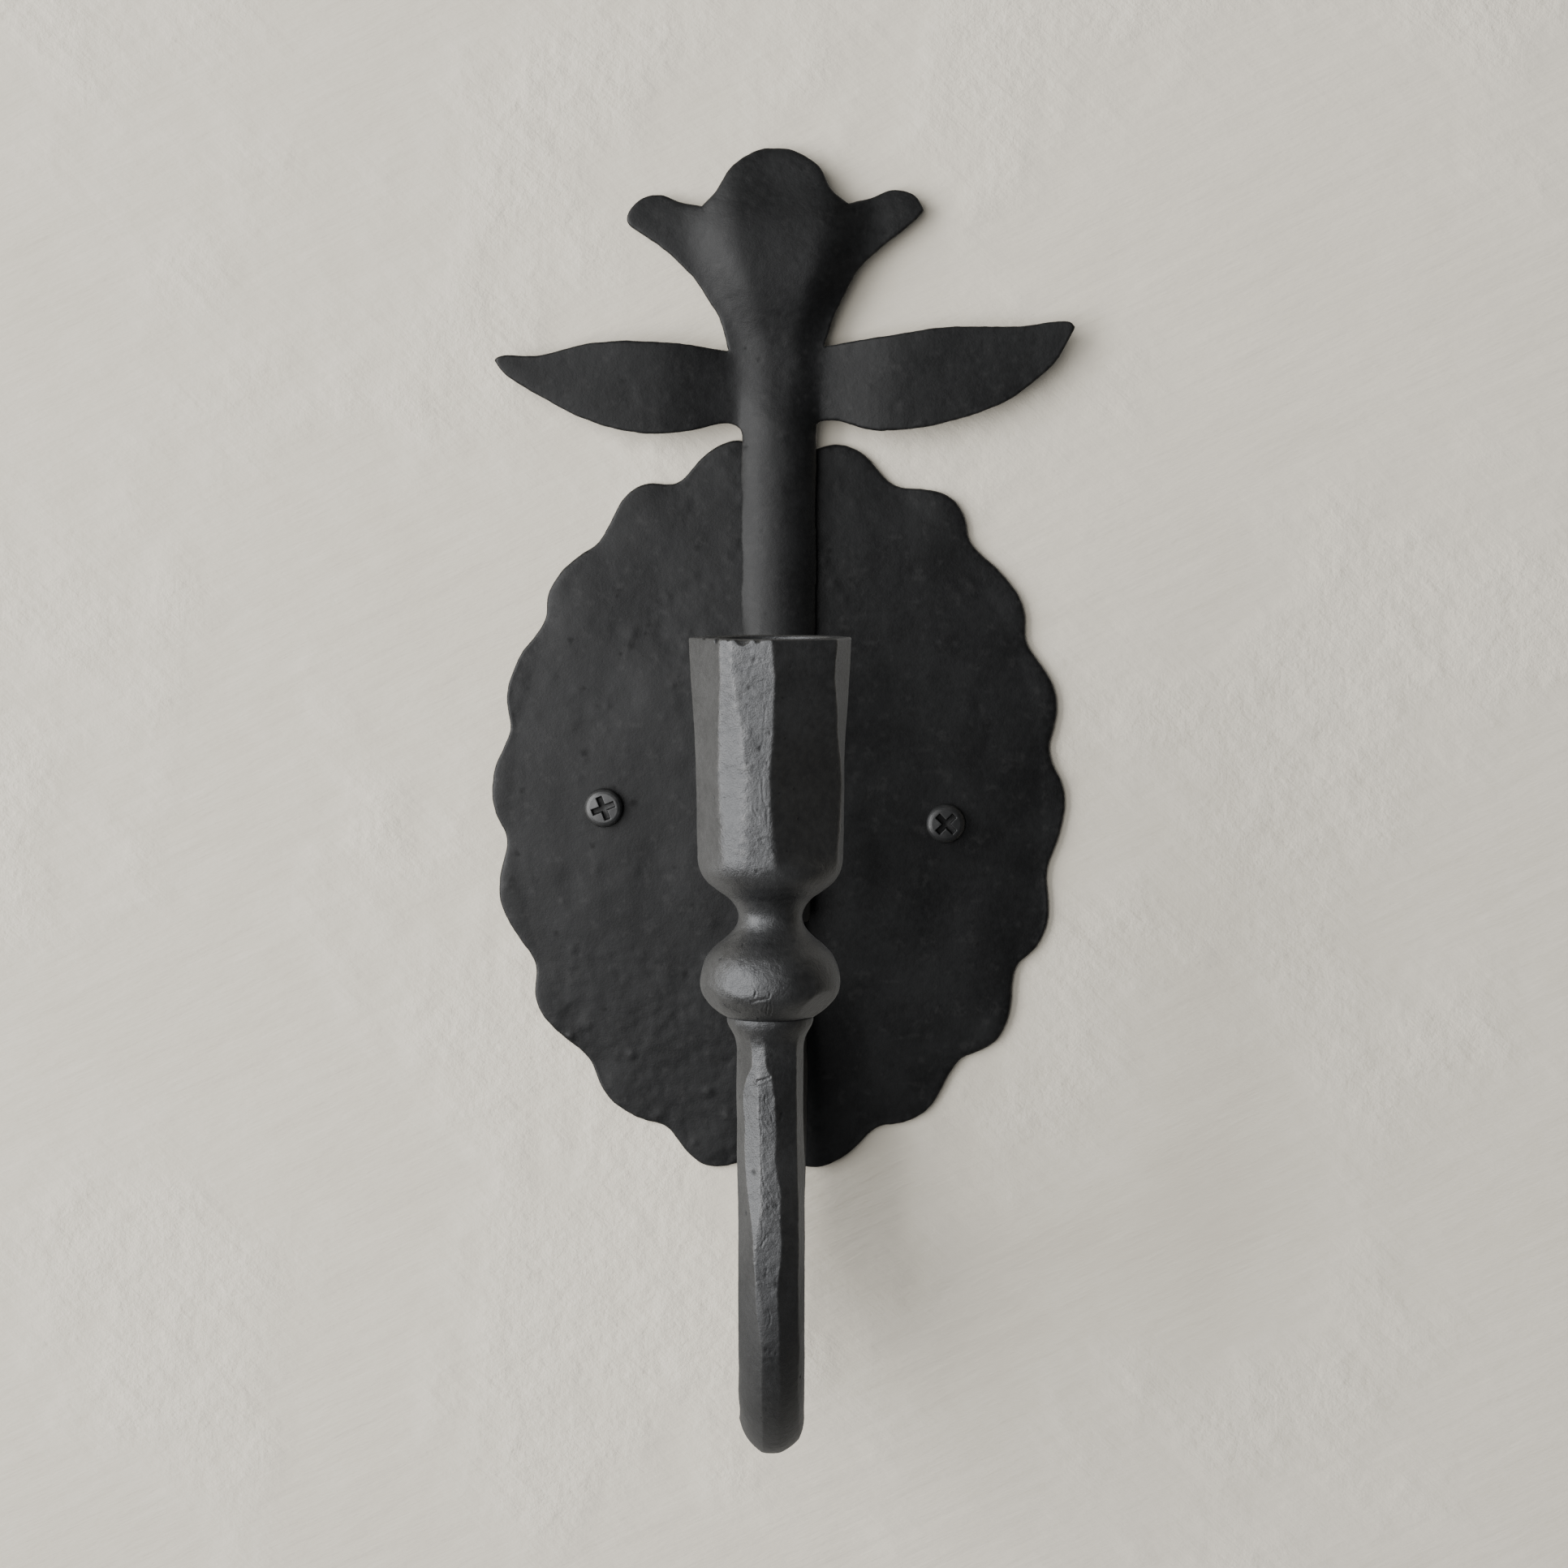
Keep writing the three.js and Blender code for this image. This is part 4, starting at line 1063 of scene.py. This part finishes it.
def rivet(name, z):
    front = float(stem_front_at(np.array([STEM_X]), np.array([z]))[0]) + GAP
    back = float(plate_back_at(STEM_X, z)) - GAP
    head = RIVET_HEAD_RADIUS
    outline = [
        (0.3, back - 2.2), (1.8, back - 2.15), (3.4, back - 1.9), (head - 0.2, back - 1.1),
        (head, back - 0.5),
        (head - 0.2, back), (RIVET_RADIUS, back), (RIVET_RADIUS, front), (head - 0.3, front),
        (head, front + 0.5),
        (head - 0.4, front + 1.2), (3.2, front + 2.1), (1.6, front + 2.65), (0.3, front + 2.8),
    ]
    profile = evenly(np.array(outline), 0.22, closed=False)
    around = 72
    grid = turned_grid(profile, around, STEM_X, z)
    points = grid.reshape(-1, 3)
    normal = grid_normals(grid).reshape(-1, 3)
    is_head = (np.hypot(points[:, 0] - STEM_X, points[:, 2] - z) > RIVET_RADIUS + 0.05) | (
        np.abs(-points[:, 1] - (front + back) / 2) > (front - back) / 2 + 0.3
    )
    blow, own = spots(points, 2.6, 141)
    relief = is_head * (0.05 * noise(points, 1.6, 142) - 0.16 * own * (1.0 - smoothstep(blow, 0.2, 1.5)))
    points = points + normal * relief[:, None]
    count = len(points)
    ends = np.array([[STEM_X, -(back - 2.2), z], [STEM_X, -(front + 2.8), z]])
    faces = tube_faces(len(profile), around, count, count + 1)
    wear = np.append(is_head * smoothstep(noise(points, 1.1, 143), -0.2, 0.6), [0.0, 0.0])
    make_piece(name + "_hammered", np.vstack([points, ends]), faces, "forged_iron", [name], FORGED_IRON,
               wear=wear, pit=np.zeros(count + 2))


def cut_away(piece, cutter):
    """Cuts one mesh object out of another, and removes the cutter."""
    modifier = piece.modifiers.new("cut", "BOOLEAN")
    modifier.operation = "DIFFERENCE"
    modifier.solver = "EXACT"
    modifier.object = cutter
    bpy.context.view_layer.objects.active = piece
    bpy.ops.object.modifier_apply(modifier=modifier.name)
    bpy.data.objects.remove(cutter)


def plain_mesh(name, points, faces):
    mesh = bpy.data.meshes.new(name)
    mesh.from_pydata((np.array(points) * MM).tolist(), [], faces)
    cutter = bpy.data.objects.new(name, mesh)
    bpy.context.scene.collection.objects.link(cutter)
    return cutter


def prism(outline, near, far, x, z):
    """A closed prism along Y with that outline [x, z], from out near to out far."""
    outline = np.array(outline, float)
    count = len(outline)
    first = np.column_stack([x + outline[:, 0], np.full(count, -near), z + outline[:, 1]])
    last = np.column_stack([x + outline[:, 0], np.full(count, -far), z + outline[:, 1]])
    faces = [[i, (i + 1) % count, (i + 1) % count + count, i + count] for i in range(count)]
    faces += [list(range(count))[::-1], list(range(count, 2 * count))]
    return np.vstack([first, last]), faces


RECESS_DEPTH = 1.7
HEAD_TILT = {"left": 0.05, "right": 0.0}


def cross_recess(across, up, degrees):
    """How deep the cross recess is at a point of the head, with the cross turned that far anticlockwise."""
    turn = math.radians(degrees)
    u = across * math.cos(turn) + up * math.sin(turn)
    v = up * math.cos(turn) - across * math.sin(turn)
    reach, half = 2.5, 0.6
    one_arm = np.maximum(np.abs(u) - reach, np.abs(v) - half)
    other_arm = np.maximum(np.abs(v) - reach, np.abs(u) - half)
    inside = smoothstep(-np.minimum(one_arm, other_arm), -0.06, 0.12)
    return inside * RECESS_DEPTH * (1.0 - 0.35 * np.hypot(u, v) / reach)


def wall_screw(side):
    """A pan-head wood screw with a cross recess: head, plain shank and a thread that runs out to the point.
    The head lies square on the sloping plate."""
    _, high, middle = node_box("wall_screw_" + side)
    x, z = middle[0], middle[2]
    tip = -high[1]
    seat = float(plate_front_at(x, z)) + 0.06
    core, major, pitch = 1.45, 2.1, 1.8
    top = seat + 2.35
    outline = [
        (0.05, tip), (0.5, tip + 0.7), (core, tip + 4.5), (core, -2.0), (major - 0.15, -0.4),
        (major - 0.1, seat),
        (3.95, seat), (4.1, seat + 0.2), (4.1, seat + 0.85), (3.95, seat + 1.4), (3.55, seat + 1.85),
        (3.0, seat + 2.1), (1.6, seat + 2.28), (0.3, top),
    ]
    profile = evenly(np.array(outline), 0.12, closed=False)
    around = 120
    turn = np.linspace(0.0, 2.0 * math.pi, around, endpoint=False)[None, :]
    out = profile[:, 1:]
    phase = np.mod(out / pitch + turn / (2.0 * math.pi), 1.0)
    crest = np.clip(1.0 - np.abs(phase - 0.5) / 0.22, 0.0, 1.0)
    threaded = smoothstep(out, tip + 0.6, tip + 3.0) * (1.0 - smoothstep(out, -4.0, -1.5))
    radius = profile[:, :1] + threaded * crest * (major - core)
    across, up = radius * np.cos(turn), radius * np.sin(turn)
    deep = cross_recess(across, up, SCREW_TURN[side]) * smoothstep(out, seat + 1.6, seat + 1.9)
    grid = np.stack([x + across, deep - out, z + up], axis=2)
    points = grid.reshape(-1, 3)
    count = len(points)
    body = np.vstack([points, [[x, -tip + 0.02, z], [x, RECESS_DEPTH - top, z]]])
    faces = tube_faces(len(profile), around, count, count + 1)
    is_head = body[:, 1] < -seat + 0.3
    wear = is_head * 0.5 * smoothstep(noise(body, 1.6, 151), 0.0, 0.7)
    # Painted shade in the cross recess: darker the deeper it goes, darkest at its middle.
    dull = np.append(1.4 * (deep / RECESS_DEPTH + 0.0 * turn).ravel(), [0.0, 1.0])
    piece = make_piece("wall_screw_" + side + "_threaded", body, faces, "screw_steel", ["wall_screw_" + side],
                       SCREW_STEEL, wear=wear, pit=np.clip(dull, 0.0, 1.0))

    # Lay the head on the slope of the plate.
    step = 0.5
    slope = float(plate_front_at(x + step, z) - plate_front_at(x - step, z)) / (2.0 * step)
    slope += HEAD_TILT[side]
    for vertex in piece.data.vertices:
        if -vertex.co.y / MM > seat - 0.3:
            vertex.co.y -= slope * (vertex.co.x - x * MM)


def wall_plug(side):
    """A ribbed nylon plug, split in two along most of its length."""
    low, high, middle = node_box("wall_plug_" + side)
    x, z = middle[0], middle[2]
    mouth, end = -low[1], -high[1]
    bore = 1.9
    ribs = np.arange(mouth - 4.0, end + 4.0, -2.0)
    outer = [(2.6, mouth), (3.35, mouth - 0.15), (3.35, mouth - 3.0)]
    for at in ribs:
        outer += [(3.45, at), (3.4, at - 0.3), (2.95, at - 1.7)]
    outer += [(2.9, end + 2.0), (2.5, end + 0.2), (2.3, end)]
    closed = [(2.4, mouth), *outer[1:], (bore, end), (bore, mouth - 1.4)]
    profile = evenly(np.array(closed), 0.3, closed=True)
    around = 64
    grid = turned_grid(profile, around, x, z)
    points = grid.reshape(-1, 3)
    rows = len(profile)
    faces = tube_faces(rows, around)
    last = (rows - 1) * around
    faces += [[last + j, last + (j + 1) % around, (j + 1) % around, j] for j in range(around)]
    faces = [face[::-1] for face in faces]
    piece = make_piece("wall_plug_" + side + "_ribbed", points, faces, "plug_nylon", ["wall_plug_" + side],
                       PLUG_NYLON)
    slot = [(-5.0, -0.6), (5.0, -0.6), (5.0, 0.6), (-5.0, 0.6)]
    cut_away(piece, plain_mesh("split", *prism(slot, mouth - 12.0, end - 2.0, x, z)))


# ---- The object --------------------------------------------------------------------------------------------

backplate()
floral_stem()
arm()
candle_cup()
for rivet_name, rivet_z in RIVETS.items():
    rivet(rivet_name, rivet_z)
for which in SCREWS:
    wall_screw(which)
    wall_plug(which)

# ---- Stage, light and camera -------------------------------------------------------------------------------


def wall():
    """A pale plastered wall. It is seen and lit from the room only, so it hides nothing from behind."""
    half = 3.0
    mesh = bpy.data.meshes.new("plaster_wall")
    behind = 0.0006
    mesh.from_pydata([(-half, behind, -half), (half, behind, -half), (half, behind, half),
                      (-half, behind, half)], [],
                     [(0, 1, 2, 3)])
    plaster = Finish("plaster")
    broad = plaster.noise(70.0, 4.0, 0.5)
    strokes = plaster.noise(5.0, 4.0, 0.6, (0.16, 1.0, 1.0), 24.0)
    crossing = plaster.noise(4.0, 4.0, 0.6, (0.14, 1.0, 1.0), -42.0)
    lumps = plaster.noise(9.0, 6.0, 0.65)
    sand = plaster.noise(1.2, 3.0, 0.6)
    patchy = plaster.ramp(broad, 0.46, 0.62)
    height = plaster.maths("MULTIPLY", strokes, plaster.ramp(broad, 0.62, 0.42, 0.25, 1.0))
    height = plaster.maths("ADD", height,
                           plaster.maths("MULTIPLY", crossing, plaster.ramp(broad, 0.4, 0.6, 0.1, 0.8)))
    height = plaster.maths("ADD", height,
                           plaster.maths("MULTIPLY", lumps, plaster.maths("MULTIPLY", patchy, 2.2)))
    height = plaster.maths("ADD", height, plaster.maths("MULTIPLY", sand, 0.12))
    tone = plaster.maths("ADD", plaster.maths("MULTIPLY", broad, 0.6), plaster.maths("MULTIPLY", lumps, 0.4))
    colour = plaster.blend(plaster.ramp(tone, 0.3, 0.7), (0.60, 0.555, 0.465, 1.0), (0.66, 0.615, 0.525, 1.0))
    plaster.set(Base_Color=colour, Roughness=0.85, Normal=plaster.bump(height, 0.42))
    plaster.shader.inputs["Specular IOR Level"].default_value = 0.2
    tree = plaster.tree
    through = tree.nodes.new("ShaderNodeBsdfTransparent")
    either = tree.nodes.new("ShaderNodeMixShader")
    side = tree.nodes.new("ShaderNodeNewGeometry")
    tree.links.new(side.outputs["Backfacing"], either.inputs["Fac"])
    tree.links.new(plaster.shader.outputs[0], either.inputs[1])
    tree.links.new(through.outputs[0], either.inputs[2])
    tree.links.new(either.outputs[0], tree.nodes["Material Output"].inputs["Surface"])
    mesh.materials.append(plaster.material)
    backdrop = bpy.data.objects.new("plaster_wall", mesh)
    bpy.context.scene.collection.objects.link(backdrop)
    backdrop.visible_shadow = False


def soft_light(name, place, width, height, power):
    """A rectangular soft light at place, turned to the middle of the object."""
    data = bpy.data.lights.new(name, "AREA")
    data.shape = "RECTANGLE"
    data.size, data.size_y, data.energy = width, height, power
    light = bpy.data.objects.new(name, data)
    bpy.context.scene.collection.objects.link(light)
    light.location = place
    light.rotation_euler = (Vector((0.0, -0.04, 0.0)) - Vector(place)).to_track_quat("-Z", "Y").to_euler()


def sky():
    """Dim even light, and a pale background where the camera sees past the wall."""
    world = bpy.data.worlds.new("room")
    bpy.context.scene.world = world
    world.use_nodes = True
    tree = world.node_tree
    dim = tree.nodes["Background"]
    dim.inputs["Color"].default_value = (0.95, 0.97, 1.0, 1.0)
    dim.inputs["Strength"].default_value = 0.10
    pale = tree.nodes.new("ShaderNodeBackground")
    pale.inputs["Color"].default_value = (0.60, 0.58, 0.54, 1.0)
    pale.inputs["Strength"].default_value = 1.0
    seen = tree.nodes.new("ShaderNodeLightPath")
    either = tree.nodes.new("ShaderNodeMixShader")
    tree.links.new(seen.outputs["Is Camera Ray"], either.inputs["Fac"])
    tree.links.new(dim.outputs[0], either.inputs[1])
    tree.links.new(pale.outputs[0], either.inputs[2])
    tree.links.new(either.outputs[0], tree.nodes["World Output"].inputs["Surface"])


WINDOW_DISTANCE = 2.6
WINDOW_HEIGHT = 0.25  # of its middle, above the middle of the plate


def window(name, azimuth, width, tall, power):
    """A tall window, that many degrees round to the left of straight in front."""
    turn = math.radians(azimuth)
    place = (-WINDOW_DISTANCE * math.sin(turn), -WINDOW_DISTANCE * math.cos(turn), WINDOW_HEIGHT)
    soft_light(name, place, width, tall, power)


wall()
sky()
window("window", 62.0, 1.9, 2.7, 148.0)
window("window_beyond", 27.0, 2.2, 2.8, 78.0)
soft_light("back_fill", (0.9, 1.6, 0.7), 1.6, 1.6, 15.0)

CAMERA_DISTANCE = 0.830
CAMERA_SIDE = 0.0013
CAMERA_HEIGHT = 0.0607
CAMERA_LENS = 90.47
CAMERA_TILT = 3.9  # degrees down from level
camera_data = bpy.data.cameras.new("camera")
camera_data.lens = CAMERA_LENS
camera_data.sensor_width = 36.0
camera = bpy.data.objects.new("camera", camera_data)
bpy.context.scene.collection.objects.link(camera)
camera.location = (CAMERA_SIDE, -CAMERA_DISTANCE, CAMERA_HEIGHT)
camera.rotation_euler = (math.radians(90.0 - CAMERA_TILT), 0.0, 0.0)
bpy.context.scene.camera = camera
